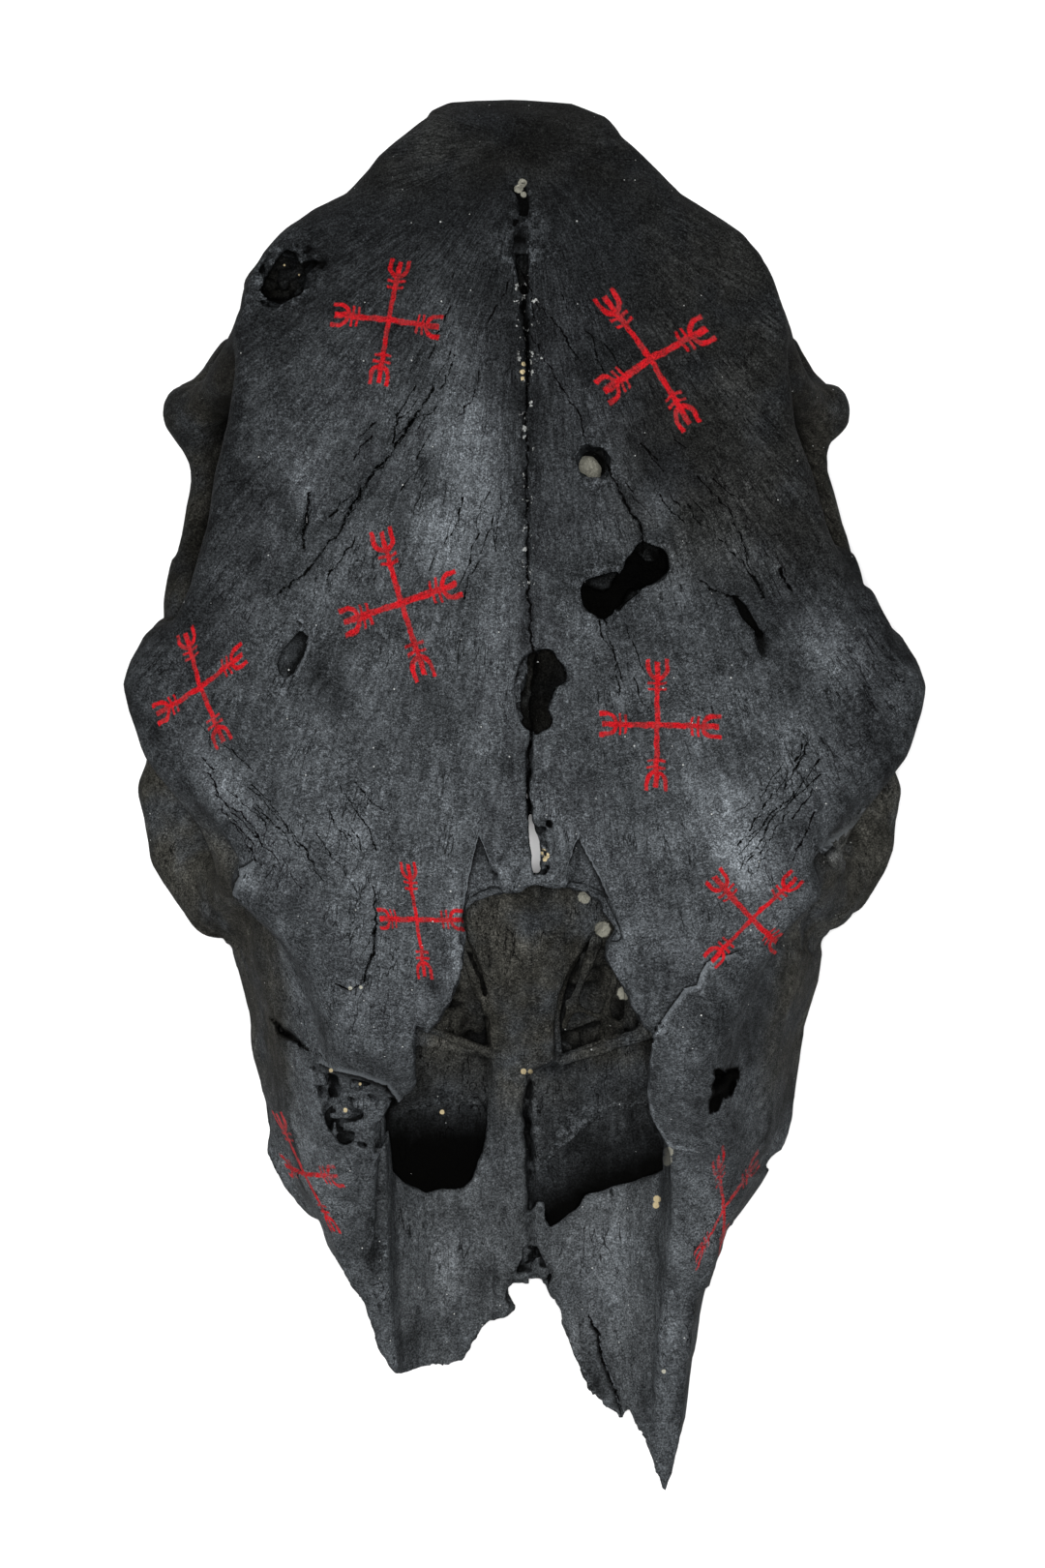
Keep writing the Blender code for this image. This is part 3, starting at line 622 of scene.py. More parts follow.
# The two openings in the nose's floor, into the hollow of the hard palate
LEFT_PALATE_HOLE = read_off(
    (398, 1150), (399, 1197), (405, 1211), (416, 1221), (440, 1231), (458, 1227), (478, 1228), (489, 1214),
    (499, 1191), (504, 1166), (506, 1133), (503, 1092), (470, 1088), (430, 1080), (410, 1120))
RIGHT_PALATE_HOLE = read_off(
    (551, 1098), (576, 1098), (613, 1085), (660, 1072), (690, 1068), (700, 1140), (694, 1205), (669, 1217),
    (641, 1224), (621, 1231), (604, 1234), (597, 1248), (582, 1260), (568, 1270), (563, 1259), (561, 1242),
    (552, 1242), (548, 1180))

# Where the front of the palate is broken away: the middle, and the end of the left side
SNOUT_NOTCH = (
    (-1.6, -165), (-5.4, -166.4), (-5.4, -169), (-3.5, -171.8), (-6, -173.6), (-10.5, -175), (-13, -177),
    (-16, -182), (-18, -185.5), (-24, -186.5), (-24, -240), (38.5, -240), (38.5, -221), (36, -216),
    (34, -209.5), (31, -203.5), (28, -198), (25.5, -201), (17, -194), (12.5, -183.5), (9, -172), (5.6, -166),
    (3.6, -165.4), (1.8, -163.2), (0.2, -165.3),
)
LEFT_SNOUT = (
    (-23, -186), (-35.5, -188.6), (-39.6, -181.7), (-44, -169), (-50.5, -158.8), (-59, -149), (-68, -139),
    (-80, -132), (-80, -240), (-22, -240),
)

# What lies outside the skull's outline at the poll's shoulders, round the ears, and beside the snout
SHOULDERS = (
    read_off((425, 100), (441, 120), (414, 141), (391, 160), (374, 181), (357, 200), (324, 216), (288, 240),
             (262, 266), (225, 266), (225, 100)),
    read_off((632, 100), (644, 140), (666, 160), (686, 181), (703, 200), (736, 219), (769, 240), (792, 266),
             (830, 266), (830, 100)),
)
ROUND_EARS = (
    read_off((262, 266), (252, 290), (248, 320), (238, 341), (226, 359), (211, 381), (200, 392), (190, 396),
             (180, 397), (171, 405), (166, 416), (166, 428), (170, 441), (178, 453), (189, 467), (195, 480),
             (197, 497), (194, 515), (187, 552), (181, 572), (110, 572), (110, 266)),
    read_off((792, 266), (799, 290), (809, 318), (820, 341), (828, 362), (842, 385), (854, 395), (868, 394),
             (878, 403), (882, 420), (879, 439), (869, 449), (858, 458), (855, 471), (859, 485), (868, 503),
             (876, 531), (884, 555), (890, 588), (893, 605), (960, 605), (960, 266)),
)
BESIDE_SNOUT = (
    read_off((708, 1470), (695, 1512), (688, 1545), (730, 1545), (730, 1470)),
    read_off((752, 1268), (743, 1295), (735, 1320), (726, 1360), (760, 1360), (790, 1268)),
    read_off((267, 1116), (277, 1146), (280, 1166), (275, 1190), (284, 1214), (307, 1240), (325, 1262),
             (250, 1262), (240, 1116)),
)

SNOUT_END = ((-70, -240), (70, -240), (70, -221.5), (-70, -221.5))

# Holes in the forehead: the round one (place, depth and radius), the double one, then the long median break
ROUND_HOLE = (20.5, 55.5, 40, 4.2)
DOUBLE_HOLE = read_off(
    (599, 615), (600, 607), (606, 603), (613, 608), (622, 611), (631, 606), (637, 596), (641, 588),
    (645, 582), (649, 574), (655, 570), (662, 574), (668, 583), (676, 580), (681, 570), (685, 567),
    (690, 571), (692, 579), (692, 588), (688, 595), (684, 599), (678, 602), (668, 607), (660, 609),
    (652, 610), (646, 617), (642, 623), (635, 629), (632, 637), (624, 641), (617, 638), (609, 634),
    (602, 627))
# Its rims, where the bone is broken away to the sponge below
DOUBLE_RIMS = (
    read_off((600, 609), (603, 600), (611, 597), (622, 594), (633, 591), (640, 590), (640, 600), (632, 612),
             (620, 615)),
    read_off((652, 574), (657, 564), (664, 559), (674, 563), (684, 566), (687, 572), (680, 584), (668, 588),
             (660, 580)),
    read_off((636, 630), (646, 616), (656, 610), (664, 610), (656, 616), (646, 624), (638, 634)),
)
MEDIAN_BREAK = read_off(
    (553, 679), (557, 671), (566, 669), (574, 675), (581, 685), (586, 696), (590, 704), (584, 706),
    (578, 710), (573, 716), (570, 725), (568, 733), (571, 741), (570, 750), (565, 756), (559, 759),
    (553, 762), (548, 752), (546, 733), (547, 718), (551, 698))
MEDIAN_LEDGE = read_off(
    (555, 672), (547, 675), (538, 683), (532, 702), (531, 718), (534, 733), (538, 746), (543, 753),
    (550, 756), (556, 730), (556, 690))
SLIT = ((0.4, -38), (2, -38), (2.2, -40), (3.2, -42), (3.4, -50), (2, -52), (1, -50), (1, -45))


def mirrored(half):
    return list(half) + [(-x, u) for x, u in reversed(half) if x > 0]


def forehead(thickness=13.0, corner=5.0):
    """The frontal bones' upper layer, as thick as their sinuses and tables together."""
    outline = mirrored(FOREHEAD_HALF)

    def distance(x, u, w):
        side = flat_distance(outline, x, u) + corner
        top = forehead_height(x, u)
        end = np.abs(w - top + thickness / 2) - thickness / 2 + corner
        return rounded(side, end, corner)

    return (0, -124, -60), (104, 152, 8), distance


def occiput(corner=5.0):
    """The back wall: a block that widens downwards to the mastoids, with a bowed hinder face."""
    whole = mirrored(OCCIPUT_HALF)

    def distance(x, u, w):
        side = flat_distance(whole, x, w) + corner
        bow = (x / 75.0) ** 2 * (46.0 + 0.12 * w) + 12.0 * smooth((x - 64.0) / 10.0)
        back = u - (147.5 + 0.2 * w - bow) + corner
        front = (78.0 + 0.05 * w) - u + corner
        return rounded(side, np.maximum(back, front), corner)

    return (0, 50, -122), (94, 150, -4), distance


def arch(shift):
    """A zygomatic arch, with its middle moved outwards."""
    middle = [(x + shift * math.sin(math.pi * k / 5), u, w) for k, (x, u, w) in enumerate(ARCH)]
    return rod(middle, (6.5, 6, 5.5, 5, 5, 7), flat=(1.3, 1, 1))


ADD, CUT = Clay.add, Clay.cut


def build(clay, forms):
    """Adds or cuts named forms in turn. Each has its work, shape and blend, and its side if it has one."""
    for work, shape, blend, *side in forms.values():
        work(clay, shape, blend, *side)


# All that is bone, before any hollow is cut
CRANIUM_FORMS = {
    "face": (ADD, loft(FACE_SECTIONS), 0),
    "keel and braincase": (ADD, loft(CRANIAL_SECTIONS), 14),
    "occiput": (ADD, occiput(), 8),
    "temporal fossa": (CUT, ball((86, 42, -44), (34, 33, 30)), 6),
    "its inner end": (CUT, ball((60, 26, -34), (20, 26, 18)), 6),
    "forehead": (ADD, forehead(), 8),
    "temporal crest": (ADD, rod(TEMPORAL_CREST, (6, 5, 5, 6)), 8),
    "left cheek swelling": (ADD, ball((63.5, -121, -80), (8, 9, 11)), 5, "left"),
    "right cheek swelling": (ADD, ball((63.5, -121, -80), (6.2, 9, 11)), 5, "right"),
    "left snout side": (ADD, rod(((65.5, -131, -80), (60.5, -142, -82)), (6.5, 4.5)), 3, "left"),
    "left arch root": (ADD, ball((86.5, 73, -71), (6.5, 8, 8)), 6, "left"),
    "right arch root": (ADD, ball((87.5, 74.5, -71), (6.5, 7.2, 8)), 6, "right"),
    "left face side": (ADD, ball((68, -97, -78), (7, 10, 10)), 4, "left"),
}
# The round eye sockets, their rims, the postorbital bars and the zygomatic arches
ORBIT_FORMS = {
    "eye socket": (CUT, ball((78, -20, -44), (40, 27, 25)), 4),
    "its inner end": (CUT, rod(((80, -20, -46), (40, -6, -50)), (20, 8)), 6),
    "tear bone": (ADD, rod(((62, -54, -20), (72, -50, -30), (76, -56, -50)), (9, 7, 7)), 8),
    "rim": (ADD, rod(ORBIT_RIM, (5.5, 5, 5, 6, 7, 6.5, 5.5, 5, 5, 5, 5.5), closed=True), 7),
    "cheek bone": (ADD, rod(((80, -58, -62), (88, -48, -70), (96, -30, -74)), (9, 7, 6)), 8),
    "left arch": (ADD, arch(-1.4), 7, "left"),
    "right arch": (ADD, arch(0.4), 7, "right"),
    "left arch's inner edge": (ADD, rod(((89.5, 22, -74), (85, 38, -75), (80.5, 54, -75), (78, 66, -76)),
                                        (4.5, 5, 5.5, 6)), 5, "left"),
    "orbit floor": (ADD, ball((52, -46, -82), (14, 14, 12)), 6),
    "left lower rim": (ADD, rod(((96, -30, -74), (93, -46, -72), (84, -60, -68)), (7.5, 9, 9)), 7, "left"),
    "right lower rim": (ADD, rod(((93, -44, -72), (87, -57, -70)), (6, 5.4)), 5, "right"),
    "right postorbital bar": (ADD, rod(((86, 30, -22), (91, 14, -18)), (4, 4)), 6, "right"),
}
# The underside: basal bones, ear bones, condyles, paracondylar processes and pterygoids
BASE_FORMS = {
    "basal bones": (ADD, rod(((0, 112, -118), (0, 80, -108), (0, 40, -96), (0, 0, -86)), (13, 14, 11, 9),
                             flat=(1, 1, 1.4)), 8),
    "condyle": (ADD, rod(((15, 121, -132), (34, 114, -111)), (13, 12.5)), 6),
    "paracondylar process": (ADD, rod(((56, 98, -112), (50, 99, -134), (46, PARACONDYLE_REST[0], -153)),
                                      (11, 8, 5.2), flat=(1, 1.2, 1)), 8),
    "ear bulla": (ADD, ball((42, 72, -104), (13, 17, 16)), 4),
    "mastoid": (ADD, ball((78, 84, -88), (13, 12, 12)), 8),
    "pterygoid plate": (ADD, rod(((17, -34, -98), (19, -8, -96), (19, 14, -92), (16, 36, -92)),
                                 (5, 4, 4.5, 6), flat=(1.5, 1, 0.8)), 6),
    "pterygoid hook": (ADD, rod(((18, -20, -102), (20, -6, -110), (22, 4, -118)), (5, 3.5, 2.6)), 5),
    "nuchal knob": (ADD, ball((0, 138, -42), (11, 8, 12)), 10),
    "foramen magnum": (CUT, rod(((0, 142, -107), (0, 94, -88)), (19, 19)), 3),
}
HOLLOW_FORMS = {
    "side walls' top": (CUT, prism(WALL_TOP, 0, -120, 120), 2),
    "braincase": (CUT, ball((0, 64, -62), (39, 46, 30)), 2),
    "frontal sinus": (CUT, ball((0, 74, -17), (50, 46, 6.5)), 2),
    "foramen ovale": (CUT, rod(((22, 44, -76), (24, 42, -118)), (5, 5)), 3),
    "nose's rear end": (CUT, rod(((0, -30, -78), (0, -50, -76)), (11, 11)), 3),
    "nasal passage": (CUT, rod(((0, -28, -90), (0, 6, -104)), (11, 14)), 5),
    "choana": (CUT, ball((0, -42, -96), (13, 17, 26)), 4),
    "palate's hollow": (CUT, ball((19, -124, -89.5), (17, 16, 3.6)), 1),
}


def hollows(clay):
    """The nose, the passage behind it, the sinuses and the braincase, all open to the outside."""
    clay.cut(loft(CAVITY_SECTIONS, corner=3.0), blend=3)
    clay.cut(prism(APERTURE, 2, -60, 30), blend=0.4, sides="seen", rough=0.7, grain=1.9, seed=10)
    build(clay, HOLLOW_FORMS)
    snout_breaks = ((SNOUT_NOTCH, 1.1, 2.2, 11), (LEFT_SNOUT, 0.9, 2.2, 12), (SNOUT_END, 0.5, 2.5, 15))
    for outline, rough, grain, seed in snout_breaks:
        clay.cut(prism(outline, 2, -120, 0), blend=0.5, sides="whole", rough=rough, grain=grain, seed=seed)
    floor_holes = (pit(LEFT_PALATE_HOLE, -104, -124, 0.0), pit(RIGHT_PALATE_HOLE, -120, -140, 0.6))
    for seed, hole in enumerate(floor_holes, 13):
        clay.cut(hole, blend=1, sides="seen", rough=0.5, grain=3, seed=seed)


def holes(clay):
    """The holes and breaks in the forehead and the face."""
    x, u, depth, radius = ROUND_HOLE
    drill = rod(((x, u, 10), (x, u, -depth)), (radius, radius))
    clay.cut(drill, blend=0.5, sides="right", rough=1.1, grain=2.6, seed=20)
    clay.cut(prism(DOUBLE_HOLE, 2, -24, 10), blend=0.4, sides="seen", rough=0.8, grain=2.0, seed=21)
    clay.cut(prism(MEDIAN_BREAK, 2, -30, 10), blend=0.4, sides="seen", rough=0.8, grain=2.0, seed=26)
    clay.cut(prism(SLIT, 2, -30, 10), blend=0.5, sides="whole", rough=0.3, grain=2, seed=27)
    clay.cut(ball((60, 101.5, -10), (6, 4.2, 7)), blend=1, sides="left", rough=1.2, grain=3.5, seed=28)


def socket(u, x, length, breadth, root, slope):
    """A tooth's socket, turned as the tooth stands in its row."""
    half = np.array([breadth / 2 + SOCKET_GAP, length / 2 + SOCKET_GAP, (CROWN + 4 + root + SOCKET_GAP) / 2])
    middle = (root + SOCKET_GAP - CROWN - 4) / 2
    turn, rise = math.cos(slope), math.sin(slope)

    def distance(a, b, c):
        along, up = b - u, c - alveolus(u)
        q = [np.abs(a - x), np.abs(along * turn - up * rise), np.abs(along * rise + up * turn - middle)]
        q = [value - side + 2.0 for value, side in zip(q, half)]
        outside = np.sqrt(sum(np.maximum(value, 0) ** 2 for value in q))
        return outside + np.minimum(np.maximum(np.maximum(q[0], q[1]), q[2]), 0) - 2.0

    reach = np.array([half[0], half[1] + 9, half[2] + 4])
    center = np.array([x, u, alveolus(u)])
    return center - reach, center + reach, distance


# Fine cracks and open sutures of the forehead, then of the face: half width, depth, and the line's places on
# the photograph
CRACK_MARKS = (
    (1.6, 4.5, (541, 296), (543, 330), (544, 352)),
    (1.2, 4.0, (544, 350), (545, 376), (546, 398)),
    (0.7, 2.5, (545, 396), (543, 430), (545, 470), (544, 520), (546, 560), (545, 600), (550, 668)),
    (1.0, 6.0, (549, 758), (547, 790), (545, 820)),
    (1.3, 6.0, (545, 820), (547, 838), (550, 853)),
    (0.5, 1.2, (524, 297), (517, 312), (507, 328)),
    (0.5, 1.5, (545, 343), (561, 367), (579, 401), (597, 425), (607, 456)),
    (0.7, 2.5, (630, 486), (640, 508), (649, 525), (663, 545), (664, 566)),
    (0.5, 1.5, (623, 638), (628, 655), (632, 670), (637, 692), (640, 716)),
    (0.5, 1.5, (464, 320), (453, 345), (445, 367)),
    (0.7, 1.6, (448, 401), (432, 427), (406, 464), (377, 500), (349, 550), (323, 585), (288, 613)),
    (0.5, 1.5, (724, 496), (742, 514), (758, 536), (768, 560), (775, 588)),
    (1.1, 2.5, (319, 515), (318, 530), (315, 548), (314, 562)),
    (1.1, 3.0, (777, 594), (787, 612)),
    (1.1, 3.0, (807, 591), (816, 607)),
    (0.5, 1.5, (387, 922), (388, 950)),
    (0.8, 2.2, (388, 948), (386, 978), (381, 1000), (376, 1016)),
    (0.5, 1.2, (376, 1014), (362, 1022), (350, 1018)),
    (0.5, 1.2, (216, 800), (228, 830), (246, 858), (262, 884)),
    (0.5, 1.2, (300, 858), (316, 880), (330, 905)),
    (0.6, 1.5, (724, 600), (740, 612), (757, 616)),
)
FACE_CRACK_MARKS = (
    (1.5, 5.0, (282, 1053), (292, 1064), (303, 1072), (314, 1082)),
    (0.8, 2.0, (610, 1362), (619, 1378), (622, 1400), (634, 1430), (641, 1455)),
)
# Fields of short wrinkles: centre, half sizes across and along, which way they run, how many, and seed
WRINKLE_FIELDS = (
    ((262, 838), 6.5, 25, (0.60, -0.80), 20, 300), ((806, 842), 9, 22, (-0.55, -0.83), 22, 301),
    ((378, 500), 12, 24, (-0.60, -0.80), 14, 302), ((486, 560), 8, 16, (-0.35, -0.94), 9, 303),
    ((712, 515), 12, 24, (0.60, -0.80), 10, 304), ((640, 690), 8, 12, (0.25, -0.97), 4, 305),
    ((345, 860), 14, 12, (0.55, -0.83), 8, 306), ((590, 340), 8, 20, (0.45, -0.89), 6, 307),
    ((450, 440), 10, 20, (-0.30, -0.95), 8, 308),
)


def jagged(line, amount, seed, step=1.6):
    """The same line with a small shift of each place along it, as a crack runs."""
    random = np.random.default_rng(seed)
    made = []
    for (x0, u0), (x1, u1) in zip(line, line[1:]):
        length = math.hypot(x1 - x0, u1 - u0)
        count = max(1, round(length / step))
        for k in range(count):
            shift = amount * random.uniform(-1, 1) if made else 0.0
            share = k / count
            made.append((x0 + (x1 - x0) * share - (u1 - u0) / length * shift,
                         u0 + (u1 - u0) * share + (x1 - x0) / length * shift))
    return made + [line[-1]]


def wrinkles_in(centre, across, along, way, count, seed):
    """Short slightly bent lines scattered in an oval field, which all run about the same way."""
    random = np.random.default_rng(seed)
    ((x, u),) = read_off(centre)
    lines = []
    for _ in range(count):
        turn, reach = random.uniform(0, 2 * math.pi), math.sqrt(random.uniform(0, 1))
        a, b = across * reach * math.cos(turn), along * reach * math.sin(turn)
        lean, length = random.normal(0, 0.13), random.uniform(4, 13)
        dx, du = way[0] - way[1] * lean, way[1] + way[0] * lean
        bend = random.uniform(-0.1, 0.1) * length
        middle = (x + way[0] * b - way[1] * a, u + way[1] * b + way[0] * a)
        start = (middle[0] - dx * length / 2, middle[1] - du * length / 2)
        end = (middle[0] + dx * length / 2, middle[1] + du * length / 2)
        middle = (middle[0] - du * bend, middle[1] + dx * bend)
        lines.append((random.uniform(0.3, 0.65), 1.0, [start, middle, end]))
    return lines


def read_rows(rows, sizes=2):
    """The same rows, whose places on the photograph, after their sizes, are read off as one line."""
    return [(*row[:sizes], read_off(*row[sizes:])) for row in rows]


CRACKS = read_rows(CRACK_MARKS) + [line for field in WRINKLE_FIELDS for line in wrinkles_in(*field)]
CRACKS = [(*sizes, jagged(line, 0.45, 200 + k)) for k, (*sizes, line) in enumerate(CRACKS)]
FACE_CRACKS = read_rows(FACE_CRACK_MARKS)
FACE_CRACKS = [(*sizes, jagged(line, 0.5, 240 + k)) for k, (*sizes, line) in enumerate(FACE_CRACKS)]
# Pits, grooves, slots, spongy places and the beds of the lost nasal bones, as outlines
TEAR_PIT = read_off(
    (317, 649), (306, 656), (293, 670), (286, 685), (288, 696), (295, 701), (306, 694), (313, 678),
    (319, 660))
RIGHT_SLOT = read_off(
    (756, 614), (764, 619), (771, 626), (778, 638), (783, 646), (780, 652), (774, 646), (766, 638),
    (762, 628))
RIGHT_SLOT_END = read_off((780, 646), (789, 653), (795, 664), (794, 675), (790, 682), (784, 674), (780, 660))
TOP_GROOVE = read_off(
    (531, 190), (544, 189), (547, 214), (543, 240), (547, 262), (545, 302), (537, 302), (533, 280),
    (529, 262), (531, 240), (527, 214))
TOP_SLOT = read_off((533, 264), (546, 262), (545, 301), (537, 301))
REAR_PIT = read_off(
    (271, 296), (272, 306), (288, 310), (303, 308), (312, 303), (316, 284), (330, 272), (325, 268),
    (309, 273), (307, 262), (296, 257), (286, 268), (277, 284))
REAR_SPONGE = read_off(
    (262, 300), (270, 316), (296, 320), (318, 312), (330, 292), (338, 270), (326, 256), (300, 248),
    (280, 258), (268, 278))
LEFT_SPONGE = read_off(
    (322, 1100), (345, 1110), (372, 1116), (400, 1122), (412, 1140), (404, 1152), (400, 1176), (390, 1192),
    (370, 1184), (352, 1182), (338, 1164), (330, 1134))
RIGHT_HOLE = read_off(
    (737, 1106), (743, 1103), (748, 1108), (751, 1105), (763, 1103), (764, 1112), (759, 1124), (757, 1132),
    (747, 1135), (742, 1148), (734, 1150), (733, 1140), (737, 1130), (735, 1122), (740, 1114))
RIGHT_PLATE = read_off(
    (683, 1056), (694, 1040), (708, 1021), (720, 1018), (724, 1006), (731, 994), (762, 986), (800, 975),
    (850, 985), (850, 1040), (840, 1100), (820, 1190), (760, 1200), (692, 1190), (672, 1161), (666, 1132),
    (668, 1102), (672, 1070))
LEFT_BED = read_off(
    (495, 862), (501, 876), (507, 893), (517, 900), (528, 960), (470, 980), (476, 945), (484, 905))
RIGHT_BED = read_off(
    (597, 863), (604, 880), (616, 900), (632, 925), (650, 980), (590, 960), (584, 900), (588, 884))
BED_SPONGE = read_off((553, 848), (570, 846), (574, 870), (571, 893), (562, 906), (556, 900))
SNOUT_SPONGE = read_off(
    (537, 1285), (545, 1279), (556, 1286), (562, 1300), (571, 1318), (560, 1340), (530, 1340), (528, 1326),
    (534, 1310), (539, 1298))
CROWN_SPONGE = read_off((505, 886), (526, 878), (540, 892), (532, 912), (512, 908))
# A torn flake at the lower rim of the left orbit, and the tip of the plate below the right one
LEFT_FLAKE = read_off(
    (240, 927), (243, 912), (248, 905), (246, 898), (256, 894), (262, 889), (269, 893), (262, 902),
    (263, 912), (254, 918), (247, 924))
RIGHT_FLAKE = read_off(
    (848, 878), (858, 872), (868, 877), (874, 887), (884, 893), (880, 905), (868, 906), (858, 896))
GROOVE = read_off((546, 1112), (544, 1150), (548, 1190), (547, 1225), (549, 1262), (548, 1300))
# A hole beside the gap in the snout's middle
GAP_PIT = read_off((509, 1323), (514, 1319), (519, 1322), (520, 1330), (518, 1340), (513, 1340), (510, 1332))


# Where the bone steps down: how far the painted shade below it reaches in millimetres, whether the painted
# highlight on the edge above it is wide, and a line with its lower side on the right
STEPS = read_rows((
    (1.3, False, (477, 948), (484, 905), (490, 880), (495, 861)),
    (1.0, False, (495, 861), (501, 876), (506, 890)),
    (1.6, False, (597, 862), (606, 880), (617, 900), (629, 926)),
    (1.0, False, (587, 892), (591, 880), (597, 862)),
    (1.0, True, (762, 984), (742, 990), (731, 994), (724, 1006), (720, 1018), (708, 1021), (694, 1040),
     (683, 1056)),
    (1.4, True, (262, 889), (256, 894), (246, 898), (248, 905), (243, 912), (240, 925)),
    (1.2, True, (330, 1098), (345, 1106), (372, 1112), (400, 1122), (413, 1140)),
    (4.6, False, (310, 650), (318, 656), (318, 668), (313, 680), (304, 697)),
    (1.8, False, (612, 1366), (619, 1378), (622, 1400), (634, 1430), (641, 1455)),
    (2.5, True, (851, 882), (862, 873), (880, 862), (898, 848)),
))


def score_all(clay):
    """Cracks, pits, spongy patches and the beds of the lost nasal bones."""
    clay.crease(read_off((541, 310), (541, 480), (543, 660)), 3.2, 1.1, (-20, 12))
    clay.crease(read_off((508, 330), (511, 480), (515, 640)), 4.0, -0.9, (-20, 12))
    for rim, depth in zip(DOUBLE_RIMS, (4.0, 5.0, 2.5)):
        clay.erode(rim, depth, 1.9, -0.15, (-20, 12), seed=66)
        clay.erode(rim, depth / 2, 3.0, ALL_AWAY, (-20, 12))
    clay.erode(TOP_GROOVE, 2.5, 2.6, -0.35, (-20, 12), seed=50)
    clay.erode(TOP_SLOT, 9.0, 3.0, ALL_AWAY, (-20, 12))
    clay.erode(MEDIAN_LEDGE, 2.0, 3.0, ALL_AWAY, (-25, 12))
    clay.erode(MEDIAN_LEDGE, 4.5, 2.4, -0.1, (-25, 12), seed=51)
    for outline, depth in ((TEAR_PIT, 3.5), (RIGHT_SLOT, 3.2), (RIGHT_SLOT_END, 1.5)):
        clay.erode(outline, depth, 3.0, ALL_AWAY, (-25, 12))
    clay.erode(REAR_SPONGE, 1.6, 2.6, 0.0, (-35, 12), seed=52)
    clay.erode(REAR_PIT, 2.2, 3.0, ALL_AWAY, (-35, 12))
    clay.erode(REAR_PIT, 7.0, 2.6, -0.25, (-35, 12), seed=53)
    clay.erode(LEFT_SPONGE, 1.0, 3.0, ALL_AWAY, (-75, 0))
    clay.erode(LEFT_SPONGE, 5.0, 3.2, -0.12, (-75, 0), seed=54)
    for flake in (LEFT_FLAKE, RIGHT_FLAKE):
        clay.raised(flake, 1.6, (-70, 0), ramp=0.6)
    clay.raised(RIGHT_PLATE, 1.1, (-75, 12), ramp=0.9)
    clay.erode(RIGHT_HOLE, 1.2, 3.0, ALL_AWAY, (-75, 0))
    clay.erode(RIGHT_HOLE, 8.0, 3.0, -0.35, (-75, 0), seed=59)
    clay.raised(LEFT_BED, -1.9, (-12, 12), ramp=1.2)
    clay.raised(RIGHT_BED, -2.1, (-12, 12), ramp=1.2)
    clay.erode(BED_SPONGE, 3.5, 1.9, -0.1, (-14, 12), seed=56)
    clay.erode(CROWN_SPONGE, 1.0, 2.0, 0.0, (-14, 12), seed=58)
    for half_width, depth, line in CRACKS:
        if half_width >= 0.7:
            clay.score(line, half_width, depth, (-24, 12))
        else:
            clay.crease(line, 0.9, 0.45, (-24, 12))
    for half_width, depth, line in FACE_CRACKS:
        clay.score(line, half_width, depth, (-95, 0))


# The smooth floor behind the nose's opening, that narrows forward into the ridge of the palate
VOMER = read_off(
    (478, 902), (480, 950), (484, 970), (498, 1000), (506, 1030), (507, 1112), (506, 1166), (500, 1191),
    (492, 1214), (484, 1250), (549, 1250), (549, 1106), (573, 1095), (573, 1060), (577, 1030), (590, 1000),
    (610, 970), (628, 948), (642, 925), (642, 902))
VOMER_ALONG = (-138, -118, -100, -84, -56, -45)
VOMER_TOP = (-82.6, -81.6, -77.5, -72.5, -69, -68)
# Pits on either side of it, and thin bars of bone across them, as the eye sees them: ends and thicknesses
LEFT_PITS = read_off((438, 1062), (450, 1020), (470, 985), (486, 985), (500, 1020), (503, 1080), (470, 1072))
RIGHT_PITS = read_off(
    (588, 1010), (606, 975), (632, 965), (652, 1010), (672, 1058), (612, 1078), (580, 1090), (578, 1050))
NOSE_BARS = (
    ((17.8, -68, -73), (9.5, -90, -77), 1.5, 1.2), ((24, -72, -76), (19.0, -92, -79), 1.2, 0.9),
    ((27, -76, -76), (31, -91, -79), 0.9, 0.9), ((10, -84, -75), (24, -90, -78), 0.8, 0.9),
    ((-24, -76, -76), (-12, -91, -78), 1.0, 0.9), ((-17, -70, -73), (-10.5, -86, -76), 1.2, 0.9),
    ((-27, -90, -80), (-10, -97, -81), 1.4, 1.2), ((9, -99, -81), (33, -91, -79), 1.2, 1.6),
)


def nose_back(corner=2.0):
    """A low rounded back, whose top slopes down to the palate at its front."""
    def distance(x, u, w):
        top = np.interp(u, VOMER_ALONG, VOMER_TOP) - 4.0 * ((x + 2.5) / 18.0) ** 2
        return rounded(flat_distance(VOMER, x, u) + corner, np.maximum(w - top, -94 - w) + corner, corner)

    return (-18, -138, -94), (25, -50, -66), distance


def nose(clay):
    """The vomer's back, the ragged ridges beside it, and the groove of the palate."""
    clay.add(nose_back(), blend=2.5, sides="seen")
    clay.erode(LEFT_PITS, 7.0, 8.0, 0.0, (-95, -40), seed=60)
    clay.erode(RIGHT_PITS, 7.0, 8.0, -0.1, (-95, -40), seed=63)
    for start, end, first, last in NOSE_BARS:
        clay.add(rod((start, end), (first, last)), blend=2, sides="seen", rough=0.5, grain=3, seed=61)
    clay.score(jagged(GROOVE, 0.7, 260), 1.8, 3.4, (-95, -60))
    clay.erode(GAP_PIT, 1.4, 3.0, ALL_AWAY, (-95, -60))
    clay.erode(SNOUT_SPONGE, 1.2, 3.0, -0.3, (-95, -60), seed=65)
    clay.erode(SNOUT_SPONGE, 4.5, 2.2, -0.1, (-95, -60), seed=64)


